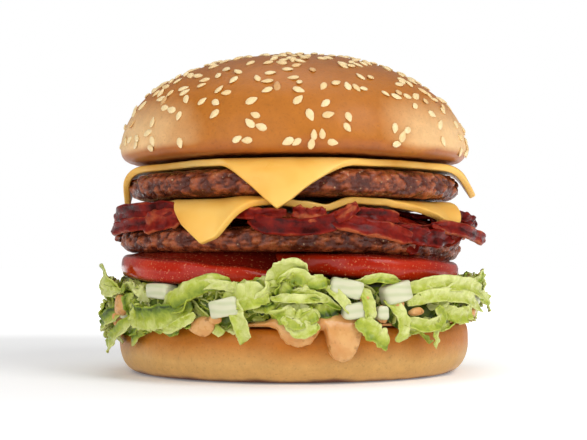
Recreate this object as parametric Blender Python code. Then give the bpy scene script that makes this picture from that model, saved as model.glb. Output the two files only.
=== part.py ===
# Double cheeseburger with bacon, tomato, onion, lettuce and sauce in a seeded bun.
# It stands on its heel: origin at the centre of the flat base, +Z up, front towards -Y.
import math

import bmesh
import bpy
from mathutils import Matrix, Vector, noise

MM = 0.001
GAP = 0.35

# Bun, in millimetres
HEEL_RADIUS = 55.5
HEEL_HEIGHT = 16.0
HEEL_FOOT_RADIUS = 49.0
CROWN_RADIUS = 55.0
CROWN_BOTTOM = 64.8
CROWN_WIDEST = 70.0
CROWN_TOP = 99.8
CROWN_ROUNDNESS = 2.1

# Patties, in millimetres
LOWER_PATTY_RADIUS = 54.4
LOWER_PATTY_TOP = 45.2
UPPER_PATTY_RADIUS = 52.3
UPPER_PATTY_BOTTOM = 53.3
UPPER_PATTY_TOP = 62.0

# Cheese and bacon, in millimetres
CHEESE_SIDE = 87.0
CHEESE_THICK = 2.1
BACON_THICK = 1.8
LOWER_BACON_LIFT = 0.5
UPPER_BACON_LIFT = 2.95
LOWER_CHEESE_LIFT = 5.2

# Tomato, lettuce, onion and sauce, in millimetres
TOMATO_HALF_WIDTH = 34.5
TOMATO_HALF_DEPTH = 43.0
LETTUCE_BOTTOM = 17.9
SAUCE_BOTTOM = 16.4
SAUCE_TOP = 17.3
ROUND_STEPS = 40
HEAP_STEPS = 80


for old in list(bpy.data.objects):
    bpy.data.objects.remove(old, do_unlink=True)


def material(name, colour, roughness):
    made = bpy.data.materials.new(name)
    made.use_nodes = True
    shader = made.node_tree.nodes["Principled BSDF"]
    shader.inputs["Base Color"].default_value = (*colour, 1.0)
    shader.inputs["Roughness"].default_value = roughness
    shader.inputs["Metallic"].default_value = 0.0
    made.diffuse_color = (*colour, 1.0)
    return made


def between(stops, x):
    """The height at x on the line through the (x, height) stops."""
    if x <= stops[0][0]:
        return stops[0][1]
    for (x0, h0), (x1, h1) in zip(stops, stops[1:]):
        if x <= x1:
            return h0 + (h1 - h0) * (x - x0) / (x1 - x0)
    return stops[-1][1]


def add_object(name, mesh_edit, looks, smooth=True):
    bmesh.ops.recalc_face_normals(mesh_edit, faces=mesh_edit.faces[:])
    if mesh_edit.calc_volume(signed=True) < 0.0:
        bmesh.ops.reverse_faces(mesh_edit, faces=mesh_edit.faces[:])
    mesh = bpy.data.meshes.new(name)
    mesh_edit.to_mesh(mesh)
    mesh_edit.free()
    for face in mesh.polygons:
        face.use_smooth = smooth
    mesh.materials.append(looks)
    made = bpy.data.objects.new(name, mesh)
    bpy.context.scene.collection.objects.link(made)
    return made


def spin_outline(outline, steps):
    """A round solid: the outline runs from the axis at the bottom to the axis at the top."""
    turned = bmesh.new()
    points = [turned.verts.new((r, 0.0, z)) for r, z in outline]
    for a, b in zip(points, points[1:]):
        turned.edges.new((a, b))
    bmesh.ops.spin(
        turned,
        geom=turned.verts[:] + turned.edges[:],
        cent=(0, 0, 0),
        axis=(0, 0, 1),
        dvec=(0, 0, 0),
        angle=math.tau,
        steps=steps,
        use_merge=True,
        use_duplicate=False,
    )
    bmesh.ops.remove_doubles(turned, verts=turned.verts[:], dist=0.0001)
    return turned


def turned_solid(name, outline, steps, looks, move):
    """Spins the outline, then hands each point's radius, height and angle to move."""
    turned = spin_outline(outline, steps)
    for vert in turned.verts:
        radius = math.hypot(vert.co.x, vert.co.y)
        angle = math.atan2(vert.co.y, vert.co.x) if radius > 0.001 else 0.0
        vert.co = Vector(move(radius, vert.co.z, angle)) * MM
    return add_object(name, turned, looks)


def lumps(angle, size, seed):
    """Uneven hand-made roundness, the same all the way up a side."""
    at = Vector((math.cos(angle) * 1.6, math.sin(angle) * 1.6, seed))
    return size * noise.noise(at, noise_basis="PERLIN_ORIGINAL") * 2.0


# Bun

crust = material("crown_crust", (0.50, 0.20, 0.055), 0.42)
base_crust = material("heel_crust", (0.48, 0.20, 0.06), 0.5)


def crown_outline():
    outline = [(0.0, CROWN_BOTTOM), (26.0, CROWN_BOTTOM), (47.5, CROWN_BOTTOM)]
    outline += [(52.4, CROWN_BOTTOM + 0.5), (54.3, CROWN_BOTTOM + 2.1)]
    rise = CROWN_TOP - CROWN_WIDEST
    for share in (0.0, 0.16, 0.32, 0.48, 0.63, 0.77, 0.88, 0.955, 0.99):
        across = (1.0 - share**CROWN_ROUNDNESS) ** (1.0 / CROWN_ROUNDNESS)
        outline.append((CROWN_RADIUS * across, CROWN_WIDEST + rise * share))
    return outline + [(0.0, CROWN_TOP)]


def crown_shape(radius, z, angle):
    share = max(0.0, (z - CROWN_BOTTOM) / (CROWN_TOP - CROWN_BOTTOM))
    lean = -2.6 * share**3
    wide = radius * (1.0 + lumps(angle, 0.008, 3.0))
    return wide * math.cos(angle) + lean, wide * math.sin(angle), z


turned_solid("crown", crown_outline(), ROUND_STEPS, crust, crown_shape)

heel_outline = [(0.0, 0.0), (26.0, 0.0), (HEEL_FOOT_RADIUS, 0.0), (52.6, 1.3)]
heel_outline += [(54.7, 4.0), (HEEL_RADIUS, 8.0), (HEEL_RADIUS, 13.6)]
heel_outline += [(54.6, 15.4), (53.0, HEEL_HEIGHT), (26.0, HEEL_HEIGHT), (0.0, HEEL_HEIGHT)]


def heel_shape(radius, z, angle):
    return radius * math.cos(angle), radius * math.sin(angle), z


turned_solid("heel", heel_outline, ROUND_STEPS, base_crust, heel_shape)

# Tomato: two slices, the right one lying partly over the left one

tomato_flesh = material("tomato", (0.55, 0.06, 0.03), 0.3)
LEFT_SLICE = {"x": -19.3, "y": -8.5}
RIGHT_SLICE = {"x": 17.0, "y": -7.5}
LEFT_UNDER = [(-54, 30.8), (-35, 29.6), (-17, 28.4), (0, 27.0), (20, 26.0)]
LEFT_OVER = [(-54, 36.9), (-35, 35.6), (-17, 33.7), (0, 32.0), (20, 31.0)]
RIGHT_UNDER = [(-18, 34.2), (0, 32.4), (18, 31.4), (35, 30.1), (52, 28.7)]
RIGHT_OVER = [(-18, 37.3), (0, 37.3), (18, 37.0), (35, 35.9), (52, 34.4)]
PATTY_UNDER = [(-54, 37.7), (0, 37.7), (18, 37.5), (35, 36.4), (56, 34.9)]

slice_outline = [(0.0, 0.0), (0.55, 0.0), (0.95, 0.0), (0.99, 0.15)]
slice_outline += [(0.99, 0.85), (0.95, 1.0), (0.55, 1.0), (0.0, 1.0)]


def tomato_slice(name, centre, under, over, seed):
    def shape(radius, share, angle):
        wide = radius * (1.0 + lumps(angle, 0.02, seed))
        x = centre["x"] + TOMATO_HALF_WIDTH * wide * math.cos(angle)
        y = centre["y"] + TOMATO_HALF_DEPTH * wide * math.sin(angle)
        low = between(under, x)
        return x, y, low + (between(over, x) - low) * share

    turned_solid(name, slice_outline, 36, tomato_flesh, shape)


tomato_slice("tomato_left", LEFT_SLICE, LEFT_UNDER, LEFT_OVER, 5.0)
tomato_slice("tomato_right", RIGHT_SLICE, RIGHT_UNDER, RIGHT_OVER, 8.0)

# Patties

beef = material("beef", (0.13, 0.055, 0.025), 0.5)
patty_outline = [(0.0, 0.0), (0.5, 0.0), (0.9, 0.0), (0.965, 0.12), (1.0, 0.4)]
patty_outline += [(0.985, 0.68), (0.95, 0.9), (0.9, 1.0), (0.5, 1.0), (0.0, 1.0)]


def patty(name, radius_mm, x_mm, under, top, seed):
    def shape(radius, share, angle):
        edge = radius_mm + lumps(angle * 2.0, 0.7, seed)
        grain = 0.0
        if 0.05 < share < 0.9 and radius > 0.9:
            at = Vector((math.cos(angle) * 5, math.sin(angle) * 5, seed + share * 2))
            grain = 0.9 * noise.noise(at)
        wide = radius * (edge - 0.5) + grain
        x = x_mm + wide * math.cos(angle)
        low = between(under, x)
        return x, wide * math.sin(angle), low + (top - low) * share

    turned_solid(name, patty_outline, ROUND_STEPS, beef, shape)


patty("lower_patty", LOWER_PATTY_RADIUS, -0.3, PATTY_UNDER, LOWER_PATTY_TOP, 2.0)
flat_under = [(-60, UPPER_PATTY_BOTTOM), (60, UPPER_PATTY_BOTTOM)]
patty("upper_patty", UPPER_PATTY_RADIUS, 0.8, flat_under, UPPER_PATTY_TOP, 11.0)

# Soft layers: each lies flat, then bends down over the edge of what is under it


def droop(stops, angle):
    """The stops give (degrees, edge radius, steepest slope in degrees) around the stack."""
    turn = math.degrees(angle) % 360.0
    closed = [(d, (e, s)) for d, e, s in stops]
    closed.append((closed[0][0] + 360.0, closed[0][1]))
    if turn < closed[0][0]:
        turn += 360.0
    for (d0, a), (d1, b) in zip(closed, closed[1:]):
        if turn <= d1:
            share = (turn - d0) / (d1 - d0)
            ease = share * share * (3.0 - 2.0 * share)
            return a[0] + (b[0] - a[0]) * ease, math.radians(a[1] + (b[1] - a[1]) * ease)
    return closed[-1][1][0], math.radians(closed[-1][1][1])


def bent(x, y, level, lift, bend, stops):
    """Where a point of a flat sheet goes once the sheet has bent over the edge."""
    radius = math.hypot(x, y)
    if radius < 1.0:
        return x, y, level + lift
    edge, slope = droop(stops, math.atan2(y, x))
    past = radius - edge
    if past <= 0.0:
        return x, y, level + lift
    turned = min(past / (bend + lift * 0.5), slope)
    straight = max(0.0, past - (bend + lift * 0.5) * slope)
    out = edge + (bend + lift) * math.sin(turned) + straight * math.cos(turned)
    down = (bend + lift) * (1.0 - math.cos(turned)) + straight * math.sin(turned)
    return x * out / radius, y * out / radius, level + lift - down


def sheet(name, rows, columns, place, thick, looks):
    """A grid moved point by point, then given its thickness upwards."""
    flat = bmesh.new()
    bmesh.ops.create_grid(flat, x_segments=columns, y_segments=rows, size=1.0)
    for vert in flat.verts:
        vert.co = Vector(place(vert.co.x, vert.co.y)) * MM
    bmesh.ops.recalc_face_normals(flat, faces=flat.faces[:])
    if sum(face.normal.z for face in flat.faces) < 0:
        bmesh.ops.reverse_faces(flat, faces=flat.faces[:])
    mesh = bpy.data.meshes.new(name)
    flat.to_mesh(mesh)
    flat.free()
    for face in mesh.polygons:
        face.use_smooth = True
    mesh.materials.append(looks)
    made = bpy.data.objects.new(name, mesh)
    bpy.context.scene.collection.objects.link(made)
    skin = made.modifiers.new("thickness", "SOLIDIFY")
    skin.thickness = thick * MM
    skin.offset = 1.0
    return made


cheddar = material("cheese", (0.85, 0.55, 0.12), 0.35)


def cheese_slice(name, x_mm, y_mm, turn, level, lift, bend, stops):
    half = CHEESE_SIDE / 2.0
    cosine, sine = math.cos(math.radians(turn)), math.sin(math.radians(turn))

    def place(u, v):
        corner = max(0.0, abs(u) + abs(v) - 1.7) / 0.3
        u, v = u * half * (1.0 - 0.02 * corner), v * half * (1.0 - 0.02 * corner)
        x, y = x_mm + u * cosine - v * sine, y_mm + u * sine + v * cosine
        return bent(x, y, level, lift, bend, stops)

    return sheet(name, 20, 20, place, CHEESE_THICK, cheddar)


UPPER_DROOP = [(0, 49.4, 58), (45, 50.0, 50), (90, 49.2, 76), (135, 50.0, 50)]
UPPER_DROOP += [(180, 49.2, 84), (225, 50.0, 60), (266, 49.2, 80), (310, 50.0, 55)]
LOWER_DROOP = [(0, 52.0, 22), (60, 52.0, 42), (110, 52.0, 30), (150, 52.0, 42)]
LOWER_DROOP += [(180, 52.0, 20), (220, 51.6, 18), (232, 47.4, 74), (248, 47.4, 80)]
LOWER_DROOP += [(260, 51.8, 42), (290, 52.0, 42), (313, 51.0, 38), (334, 50.5, 38)]

cheese_slice("upper_cheese", -1.0, -1.2, 38.5, UPPER_PATTY_TOP, GAP, 4.2, UPPER_DROOP)
cheese_slice(
    "lower_cheese", -1.5, 3.5, 17.0, LOWER_PATTY_TOP, LOWER_CHEESE_LIFT, 3.0, LOWER_DROOP
)

# Bacon: long thin strips lying across the stack in two layers, their ends sticking out

cured = material("bacon", (0.33, 0.06, 0.035), 0.35)


def bacon_strip(name, start, end, width, lift, sway, phase):
    along = Vector(end) - Vector(start)
    side = Vector((-along.y, along.x)).normalized()

    def place(u, v):
        share = (u + 1.0) / 2.0
        middle = Vector(start) + along * share
        middle += side * sway * math.sin(share * math.tau + phase)
        edge = width / 2.0 * (1.0 + 0.08 * math.sin(share * 17.0 + phase * 3.0 + v))
        at = middle + side * v * edge
        x, y, z = bent(at.x, at.y, LOWER_PATTY_TOP, lift, 3.0, LOWER_DROOP)
        free = max(0.0, math.hypot(x, y) - 50.5) / 8.0
        return x, y, z + min(free, 1.0) * 1.1 * math.sin(y * 0.42 + 0.6)

    return sheet(name, 4, 18, place, BACON_THICK, cured)


bacon_strip("bacon_front", (-11.0, -43.5), (38.0, -39.5), 16.0, LOWER_BACON_LIFT, 0.6, 0.4)
bacon_strip("bacon_middle", (-58.5, -12.0), (57.0, -17.0), 20.0, LOWER_BACON_LIFT, 1.0, 2.1)
bacon_strip("bacon_back", (-52.0, 17.0), (50.0, 15.0), 23.0, LOWER_BACON_LIFT, 1.0, 4.0)
bacon_strip("bacon_top_left", (-57.0, -20.0), (8.0, -14.0), 22.0, UPPER_BACON_LIFT, 1.2, 1.2)
bacon_strip("bacon_top_right", (16.0, -8.0), (60.5, -21.0), 24.0, UPPER_BACON_LIFT, 0.8, 5.0)

# Sauce: a thin layer on the heel, with two thick runs down the front

dressing = material("sauce", (0.80, 0.42, 0.20), 0.25)
RUNS = [(256.5, 0.0, 16.0), (261.0, 0.34, 16.0), (265.5, 0.6, 14.0), (270.0, 1.0, 12.6)]
RUNS += [(274.5, 1.0, 13.4), (279.0, 0.5, 14.8), (283.5, 1.0, 7.6), (288.0, 1.0, 8.2)]
RUNS += [(292.5, 0.34, 16.0), (297.0, 0.0, 16.0)]
RESTING = [(0, 16.4), (28, 16.4), (54.0, 16.4), (54.6, 16.45), (54.9, 16.6)]
RESTING += [(55.2, 16.8), (55.2, 17.0), (54.8, 17.2), (54.0, 17.3), (28, 17.3), (0, 17.3)]


def run_stops(index):
    return [(degrees, entry[index]) for degrees, *entry in RUNS]


def sauce_shape(point, z, angle):
    """The point counts along the section; a run swings its outer points out and down."""
    turn = math.degrees(angle) % 360.0
    amount, tip = between(run_stops(0), turn), between(run_stops(1), turn)
    number = round(point)
    radius, height = RESTING[number]
    running = {3: (55.95, 16.4), 4: (56.0, tip + 1.0), 5: (57.0, tip), 6: (58.3, tip + 1.4)}
    running[7] = (58.2, 16.0)
    running[8] = (56.8, 17.3)
    if number in running:
        wide, low = running[number]
        radius += (wide - radius) * min(1.0, amount * 3.0)
        height += (low - height) * amount
    return radius * math.cos(angle), radius * math.sin(angle), height


def counted_outline(count):
    """Stands in for an outline whose real section is set angle by angle."""
    return [(number * 1.0, number * 0.001) for number in range(count)]


def counted_solid(name, count, steps, looks, shape):
    """Spins numbered points, closes the middle, and places them by their number."""
    turned = spin_outline(counted_outline(count - 1), steps)
    rim = [edge for edge in turned.edges if edge.is_boundary]
    made = bmesh.ops.extrude_edge_only(turned, edges=rim)["geom"]
    top = [part for part in made if isinstance(part, bmesh.types.BMVert)]
    bmesh.ops.pointmerge(turned, verts=top, merge_co=(0.0, 0.0, count))
    for vert in turned.verts:
        point = math.hypot(vert.co.x, vert.co.y)
        angle = math.atan2(vert.co.y, vert.co.x) if point > 0.1 else 0.0
        if vert.co.z > 1.0:
            point = count - 1
        vert.co = Vector(shape(point, 0.0, angle)) * MM
    return add_object(name, turned, looks)


counted_solid("sauce", len(RESTING), HEAP_STEPS, dressing, sauce_shape)

# Lettuce: one uneven heap of shreds, hanging over the heel in places

leaf = material("lettuce", (0.45, 0.60, 0.16), 0.45)
HANG = [(0, 17.0), (18, 13.0), (40, 15.0), (70, 11.5), (100, 14.5), (130, 10.5), (160, 14.0)]
HANG += [(185, 12.5), (198, 7.6), (212, 7.2), (222, 14.5), (234, 14.2), (243, 17.4)]
HANG += [(247.5, 11.4), (252, 11.8), (256.5, 18.1), (297, 18.1), (301.5, 9.6)]
HANG += [(306, 11.0), (312, 8.8), (318, 15.0), (335, 16.8), (345, 15.8), (360, 17.0)]
RISE = [(0, 29.6), (30, 31.5), (60, 34.6), (90, 36.4), (120, 35.6), (150, 32.0), (180, 30.0)]
RISE += [(205, 29.4), (225, 28.6), (243, 28.2), (254, 29.2), (261, 34.6), (268, 35.4)]
RISE += [(275, 33.0), (280, 30.4), (288, 30.0), (297, 29.6), (310, 28.8), (330, 28.6)]
RISE += [(345, 31.0), (352, 31.5), (360, 29.6)]
REACH = [(0, 61.2), (20, 60.0), (60, 60.8), (90, 59.6), (130, 61.0), (170, 59.6)]
REACH += [(190, 59.4), (205, 60.2), (240, 60.6), (270, 61.4), (300, 60.6), (340, 60.8)]
REACH += [(352, 61.8), (360, 61.2)]
BED = [(-54, 30.2), (-35, 29.0), (-17, 27.7), (0, 26.2), (20, 25.2), (40, 27.2), (54, 28.0)]
HEAP_POINTS = 15


def heap_shape(point, z, angle):
    turn = math.degrees(angle) % 360.0
    low, high, wide = between(HANG, turn), between(RISE, turn), between(REACH, turn)
    number = round(point)
    shoulder = (low + high) / 2.0
    section = [(0.0, LETTUCE_BOTTOM), (28.0, LETTUCE_BOTTOM), (54.6, LETTUCE_BOTTOM)]
    section += [(55.9, LETTUCE_BOTTOM), (56.4, min(LETTUCE_BOTTOM - 0.2, low + 0.6))]
    section += [(57.2, low + 0.1), (59.0, low)]
    section += [(wide - 0.3, low + 1.8), (wide, shoulder), (wide - 0.9, high - 2.4)]
    section += [(wide - 2.6, high), (56.0, high - 0.7), (53.6, 0.0), (22.0, 0.0), (0.0, 0.0)]
    radius, height = section[number]
    x, y = radius * math.cos(angle), radius * math.sin(angle)
    if number >= 12:
        height = between(BED, x)
    return x, y, height


lettuce = counted_solid("lettuce", HEAP_POINTS, HEAP_STEPS, leaf, heap_shape)

# Onion: cut pieces lodged in the outside of the lettuce

white_onion = material("onion", (0.78, 0.78, 0.70), 0.25)


def onion_block(name, middle, size, turn, tilt, grow=0.0):
    block = bmesh.new()
    bmesh.ops.create_cube(block, size=1.0)
    wide, deep, tall = (side + grow * 2.0 for side in size)
    bmesh.ops.scale(block, vec=(wide * MM, deep * MM, tall * MM), verts=block.verts[:])
    if not grow:
        bmesh.ops.bevel(
            block,
            geom=block.edges[:],
            offset=0.7 * MM,
            segments=1,
            profile=0.5,
            affect="EDGES",
            material=-1,
        )
    turning = Matrix.Rotation(math.radians(turn), 4, "Z") @ Matrix.Rotation(
        math.radians(tilt), 4, "Y"
    )
    bmesh.ops.transform(block, matrix=turning, verts=block.verts[:])
    bmesh.ops.translate(block, vec=Vector(middle) * MM, verts=block.verts[:])
    return add_object(name, block, white_onion, smooth=False)


ONIONS = {
    "onion_left": ((-37.6, -41.6, 26.1), (8.8, 5.0, 4.2), -42, 3),
    "onion_left_low": ((-50.8, -27.2, 21.0), (7.6, 4.6, 6.0), -62, 8),
    "onion_centre_left": ((-18.9, -55.4, 21.8), (8.4, 4.4, 5.0), -16, -12),
    "onion_centre": ((14.4, -55.0, 27.3), (9.0, 4.6, 4.8), 12, 14),
    "onion_centre_low": ((17.2, -57.6, 21.0), (6.6, 3.6, 4.4), 16, -6),
    "onion_right_low": ((24.6, -54.6, 20.4), (3.4, 3.6, 3.6), 24, 0),
    "onion_right": ((28.6, -50.0, 25.9), (9.0, 4.8, 5.4), 28, -14),
    "onion_far_right": ((52.6, -22.6, 24.3), (6.4, 4.6, 5.0), 66, 5),
}
for onion_name, (middle, size, turn, tilt) in ONIONS.items():
    onion_block(onion_name, middle, size, turn, tilt)
    cutter = onion_block(onion_name + "_pocket", middle, size, turn, tilt, grow=GAP)
    cutter.hide_render = True
    cutter.display_type = "WIRE"
    pocket = lettuce.modifiers.new(onion_name, "BOOLEAN")
    pocket.operation = "DIFFERENCE"
    pocket.solver = "EXACT"
    pocket.object = cutter
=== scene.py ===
import math
import random

import bmesh
import bpy
from mathutils import Matrix, Vector, noise
from mathutils.bvhtree import BVHTree


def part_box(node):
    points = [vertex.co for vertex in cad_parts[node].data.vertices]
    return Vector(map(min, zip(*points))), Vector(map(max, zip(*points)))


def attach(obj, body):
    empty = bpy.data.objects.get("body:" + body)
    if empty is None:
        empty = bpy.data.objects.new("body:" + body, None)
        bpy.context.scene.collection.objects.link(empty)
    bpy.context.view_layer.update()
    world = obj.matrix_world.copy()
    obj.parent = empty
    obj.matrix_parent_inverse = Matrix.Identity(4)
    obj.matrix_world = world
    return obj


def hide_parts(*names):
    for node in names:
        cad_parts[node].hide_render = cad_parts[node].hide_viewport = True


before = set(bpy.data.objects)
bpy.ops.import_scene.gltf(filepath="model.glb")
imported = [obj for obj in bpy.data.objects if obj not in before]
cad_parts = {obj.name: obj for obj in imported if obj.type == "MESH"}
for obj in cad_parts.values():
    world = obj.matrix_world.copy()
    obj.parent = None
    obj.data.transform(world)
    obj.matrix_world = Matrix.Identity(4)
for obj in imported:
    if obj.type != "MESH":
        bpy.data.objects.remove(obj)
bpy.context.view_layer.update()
scene = bpy.context.scene
scene.view_settings.view_transform = "Standard"
mm = 0.001  # every piece is shaped in millimetres, then scaled once


# ---- small tools used by every piece


def toLinear(hexColour):
    channels = [int(hexColour[i : i + 2], 16) / 255 for i in (1, 3, 5)]
    linear = [c / 12.92 if c <= 0.04045 else ((c + 0.055) / 1.055) ** 2.4 for c in channels]
    return (*linear, 1.0)


def boxOf(node):
    low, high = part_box(node)
    return [v / mm for v in low], [v / mm for v in high]


def blend(a, b, share):
    return a + (b - a) * share


def ease(value, low, high):
    share = min(1.0, max(0.0, (value - low) / (high - low)))
    return share * share * (3.0 - 2.0 * share)


def between(stops, x):
    # eases from one (x, value) stop to the next
    if x <= stops[0][0]:
        return stops[0][1]
    for (x0, a), (x1, b) in zip(stops, stops[1:]):
        if x <= x1:
            return blend(a, b, ease(x, x0, x1))
    return stops[-1][1]


def bumps(x, y, z, size, seed):
    return noise.noise(Vector((x / size + seed, y / size - seed, z / size)))


def polar(turn, radius, height):
    angle = math.radians(turn)
    return Vector((radius * math.cos(angle), radius * math.sin(angle), height))


def spun(outline, steps):
    # a few outline points turned about the upright axis
    bm = bmesh.new()
    points = [bm.verts.new((r, 0.0, z)) for r, z in outline]
    for a, b in zip(points, points[1:]):
        bm.edges.new((a, b))
    bmesh.ops.spin(
        bm,
        geom=bm.verts[:] + bm.edges[:],
        cent=(0, 0, 0),
        axis=(0, 0, 1),
        dvec=(0, 0, 0),
        angle=math.tau,
        steps=steps,
        use_merge=True,
        use_duplicate=False,
   )
    bmesh.ops.remove_doubles(bm, verts=bm.verts[:], dist=0.0001)
    return bm


def withModifiers(bm, modifiers):
    # runs modifiers on a bmesh and hands back the result, so that none stays live
    mesh = bpy.data.meshes.new("work")
    bm.to_mesh(mesh)
    bm.free()
    holder = bpy.data.objects.new("work", mesh)
    scene.collection.objects.link(holder)
    for kind, settings in modifiers:
        modifier = holder.modifiers.new(kind.lower(), kind)
        for key, value in settings.items():
            setattr(modifier, key, value)
    graph = bpy.context.evaluated_depsgraph_get()
    result = bmesh.new()
    result.from_mesh(holder.evaluated_get(graph).to_mesh())
    bpy.data.objects.remove(holder)
    bpy.data.meshes.remove(mesh)
    return result


def rounded(bm, levels):
    return withModifiers(bm, [("SUBSURF", {"levels": levels, "render_levels": levels})])


def placePiece(name, bm, material, nodes=()):
    bmesh.ops.scale(bm, vec=(mm, mm, mm), verts=bm.verts[:])
    mesh = bpy.data.meshes.new(name)
    bm.to_mesh(mesh)
    bm.free()
    mesh.polygons.foreach_set("use_smooth", [True] * len(mesh.polygons))
    mesh.materials.append(material)
    piece = bpy.data.objects.new(name, mesh)
    scene.collection.objects.link(piece)
    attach(piece, "root")
    if nodes:
        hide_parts(*nodes)
    return piece


def pieceName(node):
    # bacon_top_left becomes baconTopLeft
    words = node.split("_")
    return words[0] + "".join(word.capitalize() for word in words[1:])


def faceOut(bm):
    bmesh.ops.recalc_face_normals(bm, faces=bm.faces[:])
    if bm.calc_volume(signed=True) < 0:
        bmesh.ops.reverse_faces(bm, faces=bm.faces[:])


# ---- small tools used by every material


def addNode(tree, kind, settings=None, links=None, output=0):
    # adds a shader node with its settings and links, and gives back one of its outputs
    node = tree.nodes.new("ShaderNode" + kind)
    for key, value in (settings or {}).items():
        if key == "stops":
            while len(node.color_ramp.elements) < len(value):
                node.color_ramp.elements.new(0.5)
            for element, (position, colour) in zip(node.color_ramp.elements, value):
                element.position = position
                element.color = colour if isinstance(colour, tuple) else (colour,) * 3 + (1,)
        elif isinstance(key, str) and hasattr(node, key):
            setattr(node, key, value)
        else:
            node.inputs[key].default_value = value
    for key, source in (links or {}).items():
        tree.links.new(source, node.inputs[key])
    return node.outputs[output]


def perMm(size):
    # texture scale whose blotches are about size millimetres across
    return 1.0 / (size * mm)


def startMaterial(name, settings):
    material = bpy.data.materials.new(name)
    material.use_nodes = True
    tree = material.node_tree
    shader = tree.nodes["Principled BSDF"]
    for key, value in settings.items():
        shader.inputs[key].default_value = value
    place = addNode(tree, "TexCoord", output="Object")
    return material, tree, shader, place


print("frame loaded:", len(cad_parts), "nodes")

# ---- bun

bun = {
    "domePower": 2.1,
    "lean": -2.6,
    "steps": 48,
    "lift": 0.7,
    "top": "#92551F",
    "golden": "#AF681C",
    # pale colour: paler baked skin, also used as a painted highlight low at left and right of the
    # crown
    "pale": "#E6BC86",
    # painted shade: this darker rim colour paints the low band of the crown under the dome's
    # overhang
    "rim": "#A45C20",
    "heelGold": "#C0721B",
    "heelPale": "#D0A05C",
    "heelEdge": "#6E370F",
}


def crustMaterial(name, stops, heights, mottle):
    material, tree, shader, place = startMaterial(
        name,
        {
            "Roughness": 0.42,
            "IOR": 1.45,
            "Specular IOR Level": 0.32,
            "Subsurface Weight": 0.06,
            "Subsurface Scale": 0.002,
            "Subsurface Radius": (1.0, 0.5, 0.25),
        },
   )
    height = addNode(tree, "SeparateXYZ", links={"Vector": place}, output="Z")
    tall = addNode(
        tree,
        "MapRange",
        {"From Min": heights[0] * mm, "From Max": heights[1] * mm},
        {"Value": height},
   )
    cloud = addNode(tree, "TexNoise", {"Scale": perMm(16), "Detail": 3}, {"Vector": place})
    shift = addNode(
        tree,
        "MapRange",
        {"From Min": 0.3, "From Max": 0.7, "To Min": -mottle, "To Max": mottle},
        {"Value": cloud},
   )
    level = addNode(tree, "Math", {"operation": "ADD"}, {0: tall, 1: shift})
    baked = addNode(
        tree,
        "ValToRGB",
        {"stops": [(at, toLinear(colour)) for at, colour in stops]},
        {"Fac": level},
   )
    # the pale attribute makes the crown's low band paler at left and right: partly paler baked
    # skin, partly a painted highlight where the side lamps fall
    pale = addNode(tree, "Attribute", {"attribute_name": "pale"}, output="Fac")
    paleAndLitCloud = addNode(tree, "Math", {"operation": "MULTIPLY_ADD", 1: 0.5}, {0: cloud, 2: pale})
    paleAndLitMask = addNode(tree, "MapRange", {"From Min": 0.38, "From Max": 1.2}, {"Value": paleAndLitCloud})
    colour = addNode(
        tree,
        "Mix",
        {"data_type": "RGBA", 7: toLinear(bun["pale"])},
        {0: paleAndLitMask, 6: baked},
        output=2,
   )
    fine = addNode(
        tree, "TexNoise", {"Scale": perMm(2.6), "Detail": 6, "Roughness": 0.72}, {"Vector": place}
   )
    mottled = addNode(tree, "ValToRGB", {"stops": [(0.3, 0.84), (0.7, 1.07)]}, {"Fac": fine})
    pores = addNode(tree, "TexNoise", {"Scale": perMm(0.7), "Detail": 2}, {"Vector": place})
    poreMask = addNode(tree, "ValToRGB", {"stops": [(0.28, 0.8), (0.42, 1.0)]}, {"Fac": pores})
    for shade in (mottled, poreMask):
        colour = addNode(
            tree,
            "Mix",
            {"data_type": "RGBA", "blend_type": "MULTIPLY", 0: 0.8},
            {6: colour, 7: shade},
            output=2,
       )
    tree.links.new(colour, shader.inputs["Base Color"])
    gloss = addNode(
        tree,
        "MapRange",
        {"From Min": 0.3, "From Max": 0.7, "To Min": 0.34, "To Max": 0.52},
        {"Value": cloud},
   )
    tree.links.new(gloss, shader.inputs["Roughness"])
    bump = addNode(tree, "Bump", {"Strength": 0.3, "Distance": 0.5 * mm}, {"Height": fine})
    bump = addNode(
        tree, "Bump", {"Strength": 0.3, "Distance": 0.12 * mm}, {"Height": pores, "Normal": bump}
   )
    tree.links.new(bump, shader.inputs["Normal"])
    return material


crownLow, crownHigh = boxOf("crown")
crownWide = (crownHigh[0] - crownLow[0]) / 2
heelLow, heelHigh = boxOf("heel")
heelWide = (heelHigh[0] - heelLow[0]) / 2
crownCrust = crustMaterial(
    "bakedBunCrust",  # smooth egg-washed skin, brown on top; painted shade darkens the low rim under the dome, and a paler band low at left and right is partly paler baked skin, partly a painted highlight where the side lamps fall
    [
        (0.0, "#9A5624"),
        # painted shade: the low band of the crown is darkened here, under the dome's overhang
        (0.04, bun["rim"]),
        (0.12, bun["golden"]),
        (0.6, bun["golden"]),
        (1.0, bun["top"]),
    ],
    (crownLow[2], crownHigh[2]),
    0.07,
)
heelCrust = crustMaterial(
    "bakedHeelCrust",  # drier skin with a dark ring at the base: partly darker where it touched the tray, partly painted shade where the bun meets the floor
    [
        # dark base ring: partly baked colour, partly painted shade where the bun meets the floor
        (0.0, bun["heelEdge"]),
        (0.03, bun["heelEdge"]),
        (0.1, bun["heelPale"]),
        (0.36, bun["heelPale"]),
        (0.7, bun["heelGold"]),
        (1.0, bun["heelGold"]),
    ],
    (heelLow[2], heelHigh[2]),
    0.05,
)


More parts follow.
